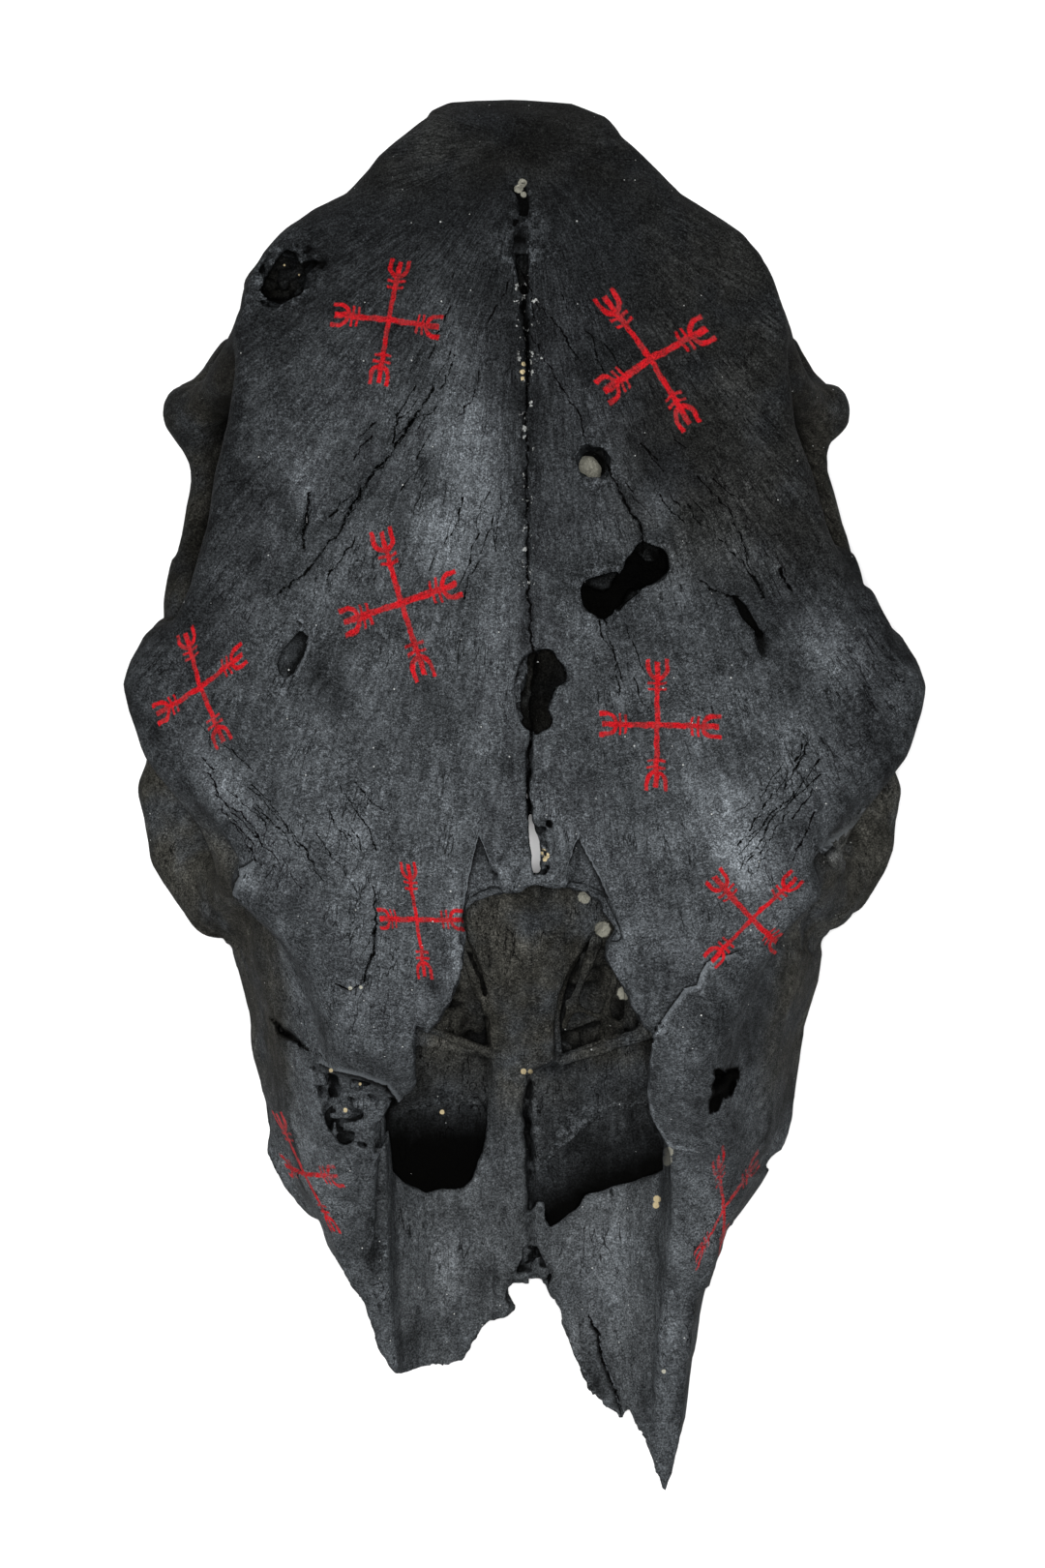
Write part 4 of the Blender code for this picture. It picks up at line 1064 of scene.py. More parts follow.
def cheeks(clay):
    """The infraorbital foramina, the swellings over the tooth roots and the rough edge of their sockets."""
    for name, u, x, length, breadth, root in TEETH:
        edge = alveolus(u)
        for step in (-0.27, 0.27):
            foot = (x + breadth / 2 - 1.0, u + step * length, edge + 3)
            head = (x + breadth / 2 + 1.5, u + step * length, edge + 16)
            clay.add(rod((foot, head), (2.6, 1.6)), blend=3)
    infraorbital_foramen = rod(((70, -134, -80), (52, -118, -78)), (4.0, 3.0))
    clay.cut(infraorbital_foramen, blend=2)
    clay.score([(-96, -60), (-80, -58), (-66, -64), (-58, -70)], 0.7, 1.4, (40, 110), sides="both", across=0)
    clay.score([(-54, -24), (-62, -40), (-72, -52), (-84, -60)], 0.6, 1.2, (50, 110), sides="both", across=0)


# Openings at the back of the orbits
ORBIT_OPENINGS = {
    "optic opening": (CUT, rod(((34, 2, -56), (22, 12, -58)), (4.5, 3.5)), 2),
    "orbital fissure": (CUT, rod(((36, -4, -74), (24, 4, -74)), (3.5, 3.0)), 2),
    "tear duct": (CUT, rod(((72, -44, -46), (60, -52, -44)), (3.0, 2.5)), 1.5),
}


def orbit_details(clay):
    """The openings at the back of the orbits, and the suture on the cheek bone."""
    build(clay, ORBIT_OPENINGS)
    clay.score([(92, -46), (88, -58), (80, -66)], 0.7, 1.2, (-95, -50), sides="both")


# The hollows beside the condyles, and the openings of the ears
BACK_FORMS = {
    "nuchal hollow": (CUT, ball((22, 139, -52), (12, 7, 14)), 5),
    "condyle's hollow": (CUT, ball((40, 116, -124), (6, 10, 9)), 3),
    "hypoglossal canal": (CUT, rod(((30, 108, -118), (20, 100, -112)), (2.6, 2.0)), 1),
    "ear tube": (ADD, rod(((60, 80, -92), (73, 82, -92), (81, 81, -90)), (6.5, 5.5, 5.5)), 4),
    "ear opening": (CUT, rod(((70, 82, -92), (92, 82, -89)), (2.8, 3.4)), 1),
    "jaw joint's hollow": (CUT, rod(((60, 70, -96), (56, 64, -106)), (4.5, 4.0)), 3),
    "basal knob": (ADD, rod(((6, 84, -120), (10, 76, -118)), (5, 4)), 4),
}


def back(clay):
    """The nuchal line, the ear openings, the hollows beside the condyles and rough muscle fields."""
    nuchal_line = rod(((8, 139, -30), (34, 131, -27), (58, 118, -34), (72, 104, -52)), (3.0, 2.6, 2.6, 2.2))
    clay.add(nuchal_line, blend=5, rough=0.8, grain=4, seed=70)
    build(clay, BACK_FORMS)
    clay.crease([(56, -50), (64, -62), (66, -78), (74, -92)], 2.0, 0.8, (70, 145), sides="both", across=1)


def trims(clay):
    """Brings the sides in to the outline that the photograph shows."""
    for outline in SHOULDERS:
        clay.cut(prism(outline, 2, -75, 12), blend=3, sides="seen")
    for outline in ROUND_EARS:
        clay.cut(prism(outline, 2, -125, 12), blend=2.5, sides="seen")
    for outline in BESIDE_SNOUT:
        clay.cut(prism(outline, 2, -130, 0), blend=1.5, sides="seen", rough=0.5)


def details(clay):
    """What the finer grid adds to the plain form."""
    nose(clay)
    cheeks(clay)
    orbit_details(clay)
    back(clay)
    trims(clay)
    for name, u, x, length, breadth, root in TEETH:
        clay.cut(socket(u, x, length, breadth, root, tooth_slope(name)), blend=0.6)


def sculpt(voxel):
    """The whole cranium in clay."""
    clay = Clay(*SKULL_BLOCK, voxel)
    for forms in (CRANIUM_FORMS, ORBIT_FORMS, BASE_FORMS):
        build(clay, forms)
    hollows(clay)
    holes(clay)
    details(clay)
    for amount, grain, seed in SKULL_WEATHER:
        clay.weather(amount, grain, seed)
    score_all(clay)
    return clay


def keep_largest(mesh):
    """Deletes every piece of a mesh but the one with the most points."""
    form = bmesh.new()
    form.from_mesh(mesh)
    seen, pieces = set(), []
    for start in form.verts:
        if start.index in seen:
            continue
        piece, waiting = [], [start]
        seen.add(start.index)
        while waiting:
            vertex = waiting.pop()
            piece.append(vertex)
            for edge in vertex.link_edges:
                other = edge.other_vert(vertex)
                if other.index not in seen:
                    seen.add(other.index)
                    waiting.append(other)
        pieces.append(piece)
    pieces.sort(key=len)
    for piece in pieces[:-1]:
        bmesh.ops.delete(form, geom=piece, context="VERTS")
    bmesh.ops.triangulate(form, faces=form.faces)
    bmesh.ops.recalc_face_normals(form, faces=form.faces)
    form.to_mesh(mesh)
    form.free()


def thinned(name, mesh, triangles):
    """A new object whose mesh has about this many triangles."""
    mesh.calc_loop_triangles()
    source = placed(name + " source", mesh)
    fewer = source.modifiers.new("Fewer faces", "DECIMATE")
    fewer.ratio = min(1.0, triangles / len(mesh.loop_triangles))
    seen = source.evaluated_get(bpy.context.evaluated_depsgraph_get())
    result = bpy.data.meshes.new_from_object(seen)
    result.name = name
    bpy.data.objects.remove(source, do_unlink=True)
    bpy.data.meshes.remove(mesh)
    keep_largest(result)
    return placed(name, result)


def get_points(mesh, kind="co"):
    """The places of a mesh's points, or their normals, one on each row."""
    points = np.empty(len(mesh.vertices) * 3, np.float32)
    mesh.vertices.foreach_get(kind, points)
    return points.reshape(-1, 3)


def dress(mesh, sharp_degrees, material):
    """Smooths a finished mesh but for its sharp edges, and gives it its one material."""
    mesh.shade_smooth()
    mesh.set_sharp_from_angle(angle=math.radians(sharp_degrees))
    mesh.materials.clear()
    mesh.materials.append(material)


# The cheek teeth

# Outlines of a worn molar and premolar, cheek side first, as shares of their breadth and length
MOLAR_OUTLINE = (
    (0.50, -0.46), (0.43, -0.40), (0.40, -0.33), (0.46, -0.25), (0.41, -0.16), (0.39, -0.08), (0.50, -0.01),
    (0.45, 0.06), (0.39, 0.12), (0.38, 0.18), (0.45, 0.26), (0.39, 0.34), (0.39, 0.40), (0.45, 0.48),
    (0.10, 0.49), (-0.28, 0.45), (-0.42, 0.38), (-0.50, 0.25), (-0.45, 0.11), (-0.33, 0.01), (-0.30, -0.01),
    (-0.36, -0.06), (-0.47, -0.14), (-0.50, -0.26), (-0.42, -0.40), (-0.24, -0.47), (0.10, -0.49),
)
PREMOLAR_OUTLINE = (
    (0.46, -0.46), (0.41, -0.34), (0.40, -0.22), (0.49, -0.08), (0.42, 0.06), (0.38, 0.20), (0.42, 0.34),
    (0.46, 0.46), (0.12, 0.49), (-0.26, 0.44), (-0.44, 0.28), (-0.50, 0.02), (-0.44, -0.24), (-0.28, -0.43),
    (0.12, -0.49),
)
# Middle lines of the crescents between the folds of enamel
MOLAR_CRESCENTS = (
    ((0.16, -0.40), (0.00, -0.30), (-0.04, -0.22), (0.02, -0.12), (0.16, -0.06)),
    ((0.16, 0.08), (0.02, 0.14), (-0.03, 0.24), (0.00, 0.32), (0.14, 0.40)),
)
PREMOLAR_CRESCENTS = (((0.14, -0.30), (-0.04, -0.18), (-0.08, 0.02), (-0.02, 0.20), (0.14, 0.32)),)
TOOTH_VOXEL = 0.5


def tooth_form(clay, premolar, length, breadth, root, seed):
    """A worn tooth in its own frame: cheek side towards x, along the row y, root up."""
    size = np.array([breadth, length])
    outline = np.array(PREMOLAR_OUTLINE if premolar else MOLAR_OUTLINE) * size
    crescents = [np.array(line) * size for line in (PREMOLAR_CRESCENTS if premolar else MOLAR_CRESCENTS)]

    def away_from(line, x, y):
        distances = []
        for p0, p1 in zip(line, line[1:]):
            e = p1 - p0
            t = np.clip(((x - p0[0]) * e[0] + (y - p0[1]) * e[1]) / (e @ e), 0, 1)
            distances.append(np.hypot(x - p0[0] - t * e[0], y - p0[1] - t * e[1]))
        return np.minimum.reduce(distances)

    def distance(x, y, z):
        wall = flat_distance(outline, x, y)
        narrower = 1.6 * smooth((z - 2) / root) + 0.5 * smooth((-z - CROWN + 3.0) / 3.0)
        side = wall + narrower + 1.0
        folds = np.minimum.reduce([away_from(line, x, y) for line in crescents])
        ridge = np.maximum(smooth(1 - np.abs(wall + 0.9) / 0.9), smooth(1 - np.abs(folds - 1.7) / 0.8))
        worn = 0.5 * (x / breadth + 0.5) + 0.4 * np.cos(2 * np.pi * y / length) ** 2
        lowest = -CROWN + 1.5 - 1.3 * ridge + worn * 0.6 + 1.6 * smooth(1 - folds / 1.1)
        crown_end = lowest - z + 1.0
        root_end = z - root + 1.0
        return rounded(side, np.maximum(crown_end, root_end), 1.0)

    reach = np.array([breadth / 2, length / 2])
    clay.add((np.array([*-reach, -CROWN]), np.array([*reach, root]), distance), blend=0, sides="whole")
    clay.weather(0.18, 3.0, seed)
    clay.weather(0.10, 1.4, seed + 1)
    return away_from, outline, crescents


def make_tooth(side, side_name, number, enamel):
    name, u, x, length, breadth, root = TEETH[number]
    full_name = f"{side_name}_{name}"
    reach = np.array([breadth / 2 + 1.5, length / 2 + 1.5])
    clay = Clay((*-reach, -CROWN - 1.5), (*reach, root + 1.5), TOOTH_VOXEL)
    away_from, outline, crescents = tooth_form(clay, name.startswith("pre"), length, breadth, root,
                                               100 + 10 * number + (side > 0))
    made = thinned(full_name + "_tooth", clay.mesh(full_name), TOOTH_TRIANGLES)
    mesh = made.data
    places = get_points(mesh)
    a, b, c = places.T
    wall = np.abs(flat_distance(outline, a, b))
    folds = np.abs(np.minimum.reduce([away_from(line, a, b) for line in crescents]) - 1.7)
    chewing = smooth((-CROWN + 3.0 - c) / 1.0)
    keep_attribute(mesh, "enamel", 1 - chewing * smooth((np.minimum(wall, folds) - 0.7) / 0.5))
    keep_attribute(mesh, "gum", smooth((c + 4.0) / 4.0))
    mesh.transform(Matrix.Scale(MM, 4))
    if side < 0:
        mesh.transform(Matrix.Diagonal((-1, 1, 1, 1)))
        mesh.flip_normals()
    stand = Matrix.Translation(Vector((side * x, u, alveolus(u))) * MM)
    mesh.transform(to_world @ stand @ Matrix.Rotation(-tooth_slope(name), 4, "X"))
    dress(mesh, TOOTH_SHARP, enamel)
    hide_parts(full_name)
    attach(made, "root")


# Marks, tones, and painted shade and highlights on the bone, kept as attributes of its mesh

# The nine painted staves: strength of the paint, centre, then the ends of the four arms in turn
STAVES = read_rows((
    (0.80, (402, 330), (415, 268), (456, 338), (391, 398), (343, 324)),
    (1.00, (672, 371), (621, 303), (733, 338), (714, 441), (623, 406)),
    (0.82, (415, 623), (393, 547), (474, 602), (440, 701), (353, 644)),
    (0.74, (207, 710), (191, 652), (252, 674), (232, 770), (160, 739)),
    (0.84, (679, 749), (679, 681), (746, 751), (677, 817), (620, 748)),
    (0.74, (430, 950), (420, 891), (480, 950), (439, 1012), (391, 949)),
    (0.95, (777, 950), (736, 904), (826, 906), (808, 978), (734, 996)),
    (0.66, (314, 1213), (284, 1148), (351, 1216), (346, 1274), (294, 1204)),
    (0.58, (748, 1250), (741, 1192), (785, 1198), (748, 1290), (719, 1308)),
), sizes=1)
# Dry, pale patches: strength, centre, half sizes in millimetres, and turn in degrees
DRY_PATCHES = (
    (0.75, (487, 480), (8, 30), 12), (0.85, (458, 560), (9, 11), 30), (0.60, (313, 490), (4, 12), 0),
    (0.36, (330, 450), (14, 22), 0), (0.40, (407, 423), (10, 7), 0), (0.10, (460, 135), (14, 8), 0),
    (0.35, (687, 530), (6, 6), 0), (1.10, (758, 862), (8, 17), 25), (0.55, (852, 672), (7, 11), 20),
    (0.45, (600, 660), (8, 12), 0), (0.50, (515, 640), (7, 30), 0), (0.60, (235, 815), (6, 16), 35),
    (0.75, (473, 975), (4, 18), 8), (0.55, (640, 990), (4, 18), -15), (0.35, (372, 900), (16, 14), 0),
    (0.35, (690, 800), (20, 16), 0), (0.40, (500, 1210), (7, 14), 0), (0.45, (560, 760), (4, 20), 0),
    (0.40, (285, 985), (9, 12), 0), (0.30, (820, 760), (12, 14), 0), (0.40, (300, 880), (10, 12), 30),
    (0.35, (380, 1050), (12, 14), 0), (0.45, (700, 1100), (4, 20), 0), (0.60, (640, 1310), (11, 20), 0),
    (0.45, (450, 1310), (14, 18), 0), (0.60, (312, 1180), (7, 16), 0), (0.45, (722, 1235), (6, 16), 0),
    (0.95, (253, 905), (2.6, 4.5), 25), (0.80, (862, 884), (2.6, 3), 0), (0.80, (522, 893), (4, 5), 0),
    (0.60, (609, 1243), (3.5, 3.5), 0), (0.55, (692, 1440), (1.6, 24), -5),
)


# How dry the bone is along the skull, from the snout up to the poll
DRYNESS_ALONG = (-210, -100, -40, 10, 60, 100, 125)
DRYNESS = (0.34, 0.30, 0.39, 0.29, 0.20, 0.10, -0.08)
REAR_CORE = read_off(
    (270, 297), (274, 308), (290, 313), (305, 310), (314, 300), (306, 291), (292, 289), (280, 287))
DARK_PITS = (RIGHT_SLOT, RIGHT_SLOT_END, TOP_SLOT, REAR_CORE, RIGHT_HOLE, GAP_PIT)
SPONGES = (LEFT_SPONGE, REAR_SPONGE, BED_SPONGE, SNOUT_SPONGE, CROWN_SPONGE, MEDIAN_LEDGE, TOP_GROOVE,
           LEFT_PITS, RIGHT_PITS, *DOUBLE_RIMS)
# Darker bands: strength, centre, half sizes, turn
DARK_PATCHES = (
    (0.34, (540, 470), (4.5, 55), 0), (0.20, (535, 250), (8, 20), 0), (0.22, (800, 470), (10, 40), 14),
    (0.20, (255, 400), (6, 40), -14), (0.25, (860, 640), (14, 22), 0), (0.22, (330, 700), (6, 10), 25),
    (0.25, (720, 330), (28, 26), 0), (0.18, (640, 820), (10, 16), 0), (0.25, (790, 640), (10, 14), 20),
    (0.20, (700, 470), (16, 16), 0), (0.08, (330, 280), (16, 12), 0), (0.22, (540, 150), (34, 12), 0),
    (0.13, (762, 1062), (16, 13), 0), (0.20, (612, 1420), (5, 9), -20), (0.30, (232, 870), (8, 8), 30),
    (0.20, (290, 950), (11, 14), 0), (0.12, (505, 480), (14, 30), 0), (0.22, (722, 1390), (6, 26), -8),
    (0.16, (745, 1225), (10, 20), 0), (0.10, (590, 640), (16, 26), 0), (0.14, (386, 1290), (4, 26), 0),
)
# Broken steps below whose upper ends a dark shade is painted: the apex of each, on the photograph
BED_TIPS = read_off((496, 866), (597, 867))
# How deep the nose's floor and pits begin
NOSE_DEPTH = -50
# What a corner of the mesh carries that is near no stave, crack or step
OFF_THE_LINES = 9.0


def frames_of_arms(stave):
    """For each quarter of a stave, the matrix that turns a place into shares of two arms.

    The first share is along arm 1, or below zero along arm 3. The second is along arm 2, or below zero along
    arm 4.
    """
    centre = np.array(stave[0])
    first, second, third, fourth = (np.array(end) - centre for end in stave[1:])
    quarters = ((first, second), (-third, second), (-third, -fourth), (first, -fourth))
    signs = ((1, 1), (-1, 1), (-1, -1), (1, -1))
    to_shares = [np.linalg.inv(np.column_stack(pair)) for pair in quarters]
    return centre, [(matrix, np.array(sign)) for matrix, sign in zip(to_shares, signs)]


def stave_places(eye_x, eye_u, strengths):
    """Where each corner lies in the nearest stave, along one arm and the next, and the paint's strength."""
    result = np.full((len(eye_x), 3, 3), OFF_THE_LINES, np.float32)
    result[:, :, 2] = 0
    middle = np.column_stack([eye_x.mean(axis=1), eye_u.mean(axis=1)])
    corners = np.stack([eye_x, eye_u], axis=2)
    for strength, stave in STAVES:
        centre, frames = frames_of_arms(stave)
        reach = 1.25 * max(np.linalg.norm(np.array(end) - centre) for end in stave[1:])
        near = np.nonzero((np.linalg.norm(middle - centre, axis=1) < reach) & (strengths > 0))[0]
        offsets = corners[near] - centre
        shares = np.zeros((len(near), 3, 2))
        for to_shares, sign in frames:
            pair = offsets @ to_shares.T
            inside = (pair * sign >= -1e-6).all(axis=2)
            shares[inside] = pair[inside]
        result[near, :, :2] = shares
        result[near, :, 2] = strength * strengths[near, None]
    return result


def nearest_stretches(lines, farthest, eye_x, eye_u, near_layer):
    """Goes along lines, stretch by stretch, and finds the faces that are nearer to it than to those before.

    Gives the line's number, those faces, how far their corners lie to the right of the stretch, and how far
    the faces lie past its ends.
    """
    middle_x, middle_u = eye_x.mean(axis=1), eye_u.mean(axis=1)
    best = np.full(len(eye_x), farthest)
    for number, line in enumerate(lines):
        for (x0, u0), (x1, u1) in zip(line, line[1:]):
            length = math.hypot(x1 - x0, u1 - u0)
            ax, au = (x1 - x0) / length, (u1 - u0) / length
            along = (middle_x - x0) * ax + (middle_u - u0) * au
            beyond = np.maximum(0, np.maximum(-along, along - length))
            away = np.abs((middle_x - x0) * au - (middle_u - u0) * ax) + 2 * beyond
            take = (away < best) & near_layer
            best[take] = away[take]
            yield number, take, (eye_x[take] - x0) * au - (eye_u[take] - u0) * ax, beyond[take, None]


def crack_distances(*corners):
    """How far each corner is from the nearest crack, measured square to it: 0.6 at half the crack's width."""
    cracks = CRACKS + FACE_CRACKS
    result = np.full(corners[0].shape, OFF_THE_LINES, np.float32)
    for number, take, right, beyond in nearest_stretches([line for *sizes, line in cracks], 3.5, *corners):
        result[take] = right * 0.6 / cracks[number][0]
    return result


def step_distances(*corners):
    """How far below a step each corner lies, as a share of its painted shade's reach, and less than 0 above
    it.
    """
    result = np.full(corners[0].shape, OFF_THE_LINES, np.float32)
    for number, take, right, beyond in nearest_stretches([line for *sizes, line in STEPS], 6.0, *corners):
        reach, pale, line = STEPS[number]
        lower = right / reach
        # A pale edge keeps a wide band of painted highlight above the step, the others a narrow one
        result[take] = np.where(lower > 0, lower, lower if pale else 5 * lower) + 2 * beyond
    return result


def patches(eye_x, eye_u, listed):
    """How strong the strongest of the listed patches is at each place."""
    dry = np.zeros(len(eye_x))
    for strength, centre, (across, along), turn in listed:
        ((x, u),) = read_off(centre)
        c, s = math.cos(math.radians(turn)), math.sin(math.radians(turn))
        a = ((eye_x - x) * c + (eye_u - u) * s) / across
        b = ((eye_u - u) * c - (eye_x - x) * s) / along
        dry = np.maximum(dry, strength * np.exp(-0.8 * (a * a + b * b)))
    return dry


def keep_attribute(mesh, name, values, domain="POINT", kind="FLOAT"):
    """Keeps a value for each point or corner of the mesh, for its material to read."""
    made = mesh.attributes.new(name, kind, domain)
    field = "vector" if kind == "FLOAT_VECTOR" else "value"
    made.data.foreach_set(field, np.ascontiguousarray(values, np.float32).ravel())


def paint(mesh, clay, straight, leant):
    """Gives the mesh its tones, its painted shade and highlights, its cracks and its staves."""
    x, u, w = leant.T
    eye_x, eye_u = sighted(x, u, w)
    up = get_points(mesh, "normal")[:, 2]
    in_nose = w < NOSE_DEPTH
    on_snout = (w > -84) * smooth((-112 - eye_u) / 12)

    def away(outline):
        return flat_distance(outline, eye_x, eye_u)

    tight, wide = (clay.solid_share(reach, straight) for reach in (TIGHT_REACH, WIDE_REACH))
    top = w > -20 - 0.5 * np.maximum(0, -60 - u)
    below_top = forehead_height(straight[:, 0], u) - w
    # Worn edges: where there is little solid round a place, on the top and on the whole snout
    edge = smooth((0.47 - tight) / 0.22) * np.maximum(below_top < 2.5, smooth((-95 - eye_u) / 15))
    keep_attribute(mesh, "edge", edge)
    # Painted shade: darker where there is much solid round a place, in the pits and pores, and below broken
    # steps
    hollow = smooth((np.maximum(tight, wide) - 0.56) / 0.25) * 0.75
    for outline in DARK_PITS:
        hollow = np.maximum(hollow, (away(outline) < 0.2) * smooth((below_top - 0.6) / 1.2)
                            * ((below_top < 16) | (eye_u < -80)))
    hollow = hollow * (1 - 0.75 * (away(MEDIAN_LEDGE) < 0.6) * (below_top < 7))
    hollow = hollow * (1 - 0.8 * (w > -84) * smooth((-112 - eye_u) / 12))
    double = away(DOUBLE_HOLE) < 0.3
    hollow = np.maximum(hollow, double * smooth((below_top - 1.5) / 2.5))
    for outline in SPONGES:
        pores = (away(outline) < 0.6) * smooth((tight - 0.50) / 0.12)
        hollow = np.maximum(hollow, 0.92 * pores * (w > -95))
    for tip_x, tip_u in BED_TIPS:
        beyond_tip = tip_u - eye_u
        shade = smooth(1 - np.abs(eye_x - tip_x) / (1.0 + 0.28 * beyond_tip))
        shade = shade * smooth((tip_u + 1.5 - eye_u) / 1.5)
        hollow = np.maximum(hollow, 0.8 * top * shade * smooth(1 - beyond_tip / 13))
    # Painted shade beside the forehead's layer, and in the nose
    beside = flat_distance(mirrored(FOREHEAD_HALF), straight[:, 0], straight[:, 1])
    recess = smooth(1 - beside / 11) * smooth((below_top - 5) / 6) * smooth((eye_u - 8) / 15)
    hollow = np.maximum(hollow, 0.55 * recess)
    shadow = smooth(-away(VOMER) / 2.0) * in_nose * smooth((eye_u + 108) / 18)
    hollow = np.maximum(hollow, 0.20 * shadow)
    for outline in (LEFT_PITS, RIGHT_PITS):
        hollow = np.maximum(hollow, 0.5 * smooth(-away(outline) / 1.5) * in_nose)
    under = (w < PALATE_W - 0.4) & (up > -0.3)
    in_left = (away(LEFT_PALATE_HOLE) < 1.5) & under
    in_right = (away(RIGHT_PALATE_HOLE) < 1.5) & under
    # Painted shade, deepening towards the front of the holes in the nose's floor
    hollow = np.maximum(hollow, in_left * smooth((-104 - eye_u) / 16))
    hollow = np.maximum(hollow, in_right * smooth((0.5 * (eye_x - 12) - (eye_u + 118)) / 18))
    keep_attribute(mesh, "hollow", hollow)
    # Dry, scuffed bone: paler patches on the top, the snout and the torn edges, dark sides, and a painted
    # highlight along the right plate's edge
    base = np.interp(eye_u, DRYNESS_ALONG, DRYNESS)
    upper_right = smooth((eye_x - 15) / 30) * smooth((eye_u - 15) / 30)
    base = base - 0.12 * upper_right - 0.20 * smooth((np.abs(x) - 62) / 25)
    base = base - patches(eye_x, eye_u, DARK_PATCHES)
    below_nose = (w < -60) & (u < -55)
    vomer = smooth(-away(VOMER) / 3.0) * in_nose
    flakes = (away(LEFT_FLAKE) < 1) | (away(RIGHT_FLAKE) < 1)
    side = 0.06 + 0.14 * smooth((np.abs(x) - 58) / 16) * smooth((25 - eye_u) / 20)
    dry = np.where(top | below_nose | flakes, np.maximum(base, patches(eye_x, eye_u, DRY_PATCHES)), side)
    # A painted highlight: a pale band just inside the right plate's edge
    rim = away(RIGHT_PLATE)
    rim = smooth(1 - np.abs(rim + 1.0) / 1.1) * (eye_x < 49) * (eye_u > -122) * (w > -50)
    dry = np.maximum(dry, 0.85 * rim)
    dry = np.maximum(dry, 0.05 * vomer * (1 + 3.8 * smooth((-90 - eye_u) / 20)))
    dry = np.where(in_left | in_right, 0.10, dry)
    # Steep faces keep less of it than faces turned up, except on the snout
    keep_attribute(mesh, "dry", dry * np.maximum(smooth(0.35 + up), 0.85 * on_snout))
    # Earthy brown, below the top and at the poll
    below = smooth((-16 - 0.4 * np.maximum(0, -60 - u) - w) / 12) * (1 - 0.9 * smooth((-95 - u) / 25))
    poll = 0.5 * smooth((eye_u - 118) / 16)
    vomer = vomer * (1 - smooth((-100 - eye_u) / 20))
    keep_attribute(mesh, "earthy", np.maximum.reduce([below, poll, 0.5 * upper_right, vomer]))
    keep_attribute(mesh, "facing", smooth((up - 0.05) / 0.25))
    # What lies on the uppermost layer only: staves, cracks and steps
    corner = np.empty(len(mesh.loops), np.int32)
    mesh.loops.foreach_get("vertex_index", corner)
    corner = corner.reshape(-1, 3)
    face_up = up[corner].mean(axis=1)
    face_u, face_w = u[corner].mean(axis=1), w[corner].mean(axis=1)
    near_layer = (face_up > 0.02) & (face_w > -24 + 1.5 * np.minimum(0, face_u + 85))
    strengths = smooth(0.25 + face_up / 0.2) * near_layer
    corner_x, corner_u = eye_x[corner], eye_u[corner]
    keep_attribute(mesh, "stave", stave_places(corner_x, corner_u, strengths), "CORNER", "FLOAT_VECTOR")
    keep_attribute(mesh, "crack", crack_distances(corner_x, corner_u, near_layer), "CORNER")
    keep_attribute(mesh, "step", step_distances(corner_x, corner_u, near_layer), "CORNER")


# Shader building


def put(tree, kind, sockets=None, **settings):
    """Adds a node with its settings, and links or sets its inputs."""
    node = tree.nodes.new("ShaderNode" + kind)
    for name, value in settings.items():
        setattr(node, name, value)
    for key, value in (sockets or {}).items():
        if isinstance(value, bpy.types.NodeSocket):
            tree.links.new(value, node.inputs[key])
        else:
            node.inputs[key].default_value = value
    return node


def calc(tree, operation, *values):
    return put(tree, "Math", dict(enumerate(values)), operation=operation).outputs[0]


def times(tree, first, second):
    return calc(tree, "MULTIPLY", first, second)


def plus(tree, first, second):
    return calc(tree, "ADD", first, second)


def minus(tree, first, second):
    return calc(tree, "SUBTRACT", first, second)


def scaled(tree, value, factor, shift):
    """The value times a factor, with a shift added."""
    return calc(tree, "MULTIPLY_ADD", value, factor, shift)


def unsigned(tree, value):
    return calc(tree, "ABSOLUTE", value)


def fade(tree, value, start, end, low=0.0, high=1.0):
    """Goes smoothly from low to high as the value goes from start to end."""
    sockets = {"Value": value, "From Min": start, "From Max": end, "To Min": low, "To Max": high}
    return put(tree, "MapRange", sockets, interpolation_type="SMOOTHSTEP").outputs["Result"]


def blended(tree, share, first, second):
    """A colour between two."""
    return put(tree, "Mix", {0: share, 6: first, 7: second}, data_type="RGBA", clamp_factor=True).outputs[2]


def stained(tree, colour, mask, strength, stain):
    """The colour with a stain over it, where the mask is, at this strength."""
    return blended(tree, times(tree, mask, strength), colour, stain)


def dimmed(tree, colour, light):
    """The colour, or another vector, times a number."""
    return put(tree, "VectorMath", {0: colour, "Scale": light}, operation="SCALE").outputs[0]


def split(tree, vector):
    return put(tree, "SeparateXYZ", {0: vector}).outputs


def joined(tree, x, y, z):
    return put(tree, "CombineXYZ", {0: x, 1: y, 2: z}).outputs[0]


def stretched(tree, vector, scale):
    return put(tree, "VectorMath", {0: vector, 1: scale}, operation="MULTIPLY").outputs[0]


def cloudy(tree, vector, scale, detail=2.0, roughness=0.5):
    """Noise from 0 to 1."""
    sockets = {"Vector": vector, "Scale": scale, "Detail": detail, "Roughness": roughness}
    return put(tree, "TexNoise", sockets).outputs["Fac"]


def attribute(tree, name, socket="Fac"):
    return put(tree, "Attribute", attribute_name=name, attribute_type="GEOMETRY").outputs[socket]


def group(name, inputs, outputs):
    """An empty node group with its sockets: label and kind of each, and a number's default value."""
    tree = bpy.data.node_groups.new(name, "ShaderNodeTree")
    for label, kind, *default in inputs:
        made = tree.interface.new_socket(label, in_out="INPUT", socket_type="NodeSocket" + kind)
        if default:
            made.default_value = default[0]
    for label, kind in outputs:
        tree.interface.new_socket(label, in_out="OUTPUT", socket_type="NodeSocket" + kind)
    return tree, tree.nodes.new("NodeGroupInput").outputs, tree.nodes.new("NodeGroupOutput").inputs


def finished(tree, out, **results):
    """The group, with its results linked to its outputs."""
    for label, value in results.items():
        tree.links.new(value, out[label])
    return tree


def use(tree, shared, **sockets):
    """Places a shared group, with its own values."""
    return put(tree, "Group", sockets, node_tree=shared).outputs


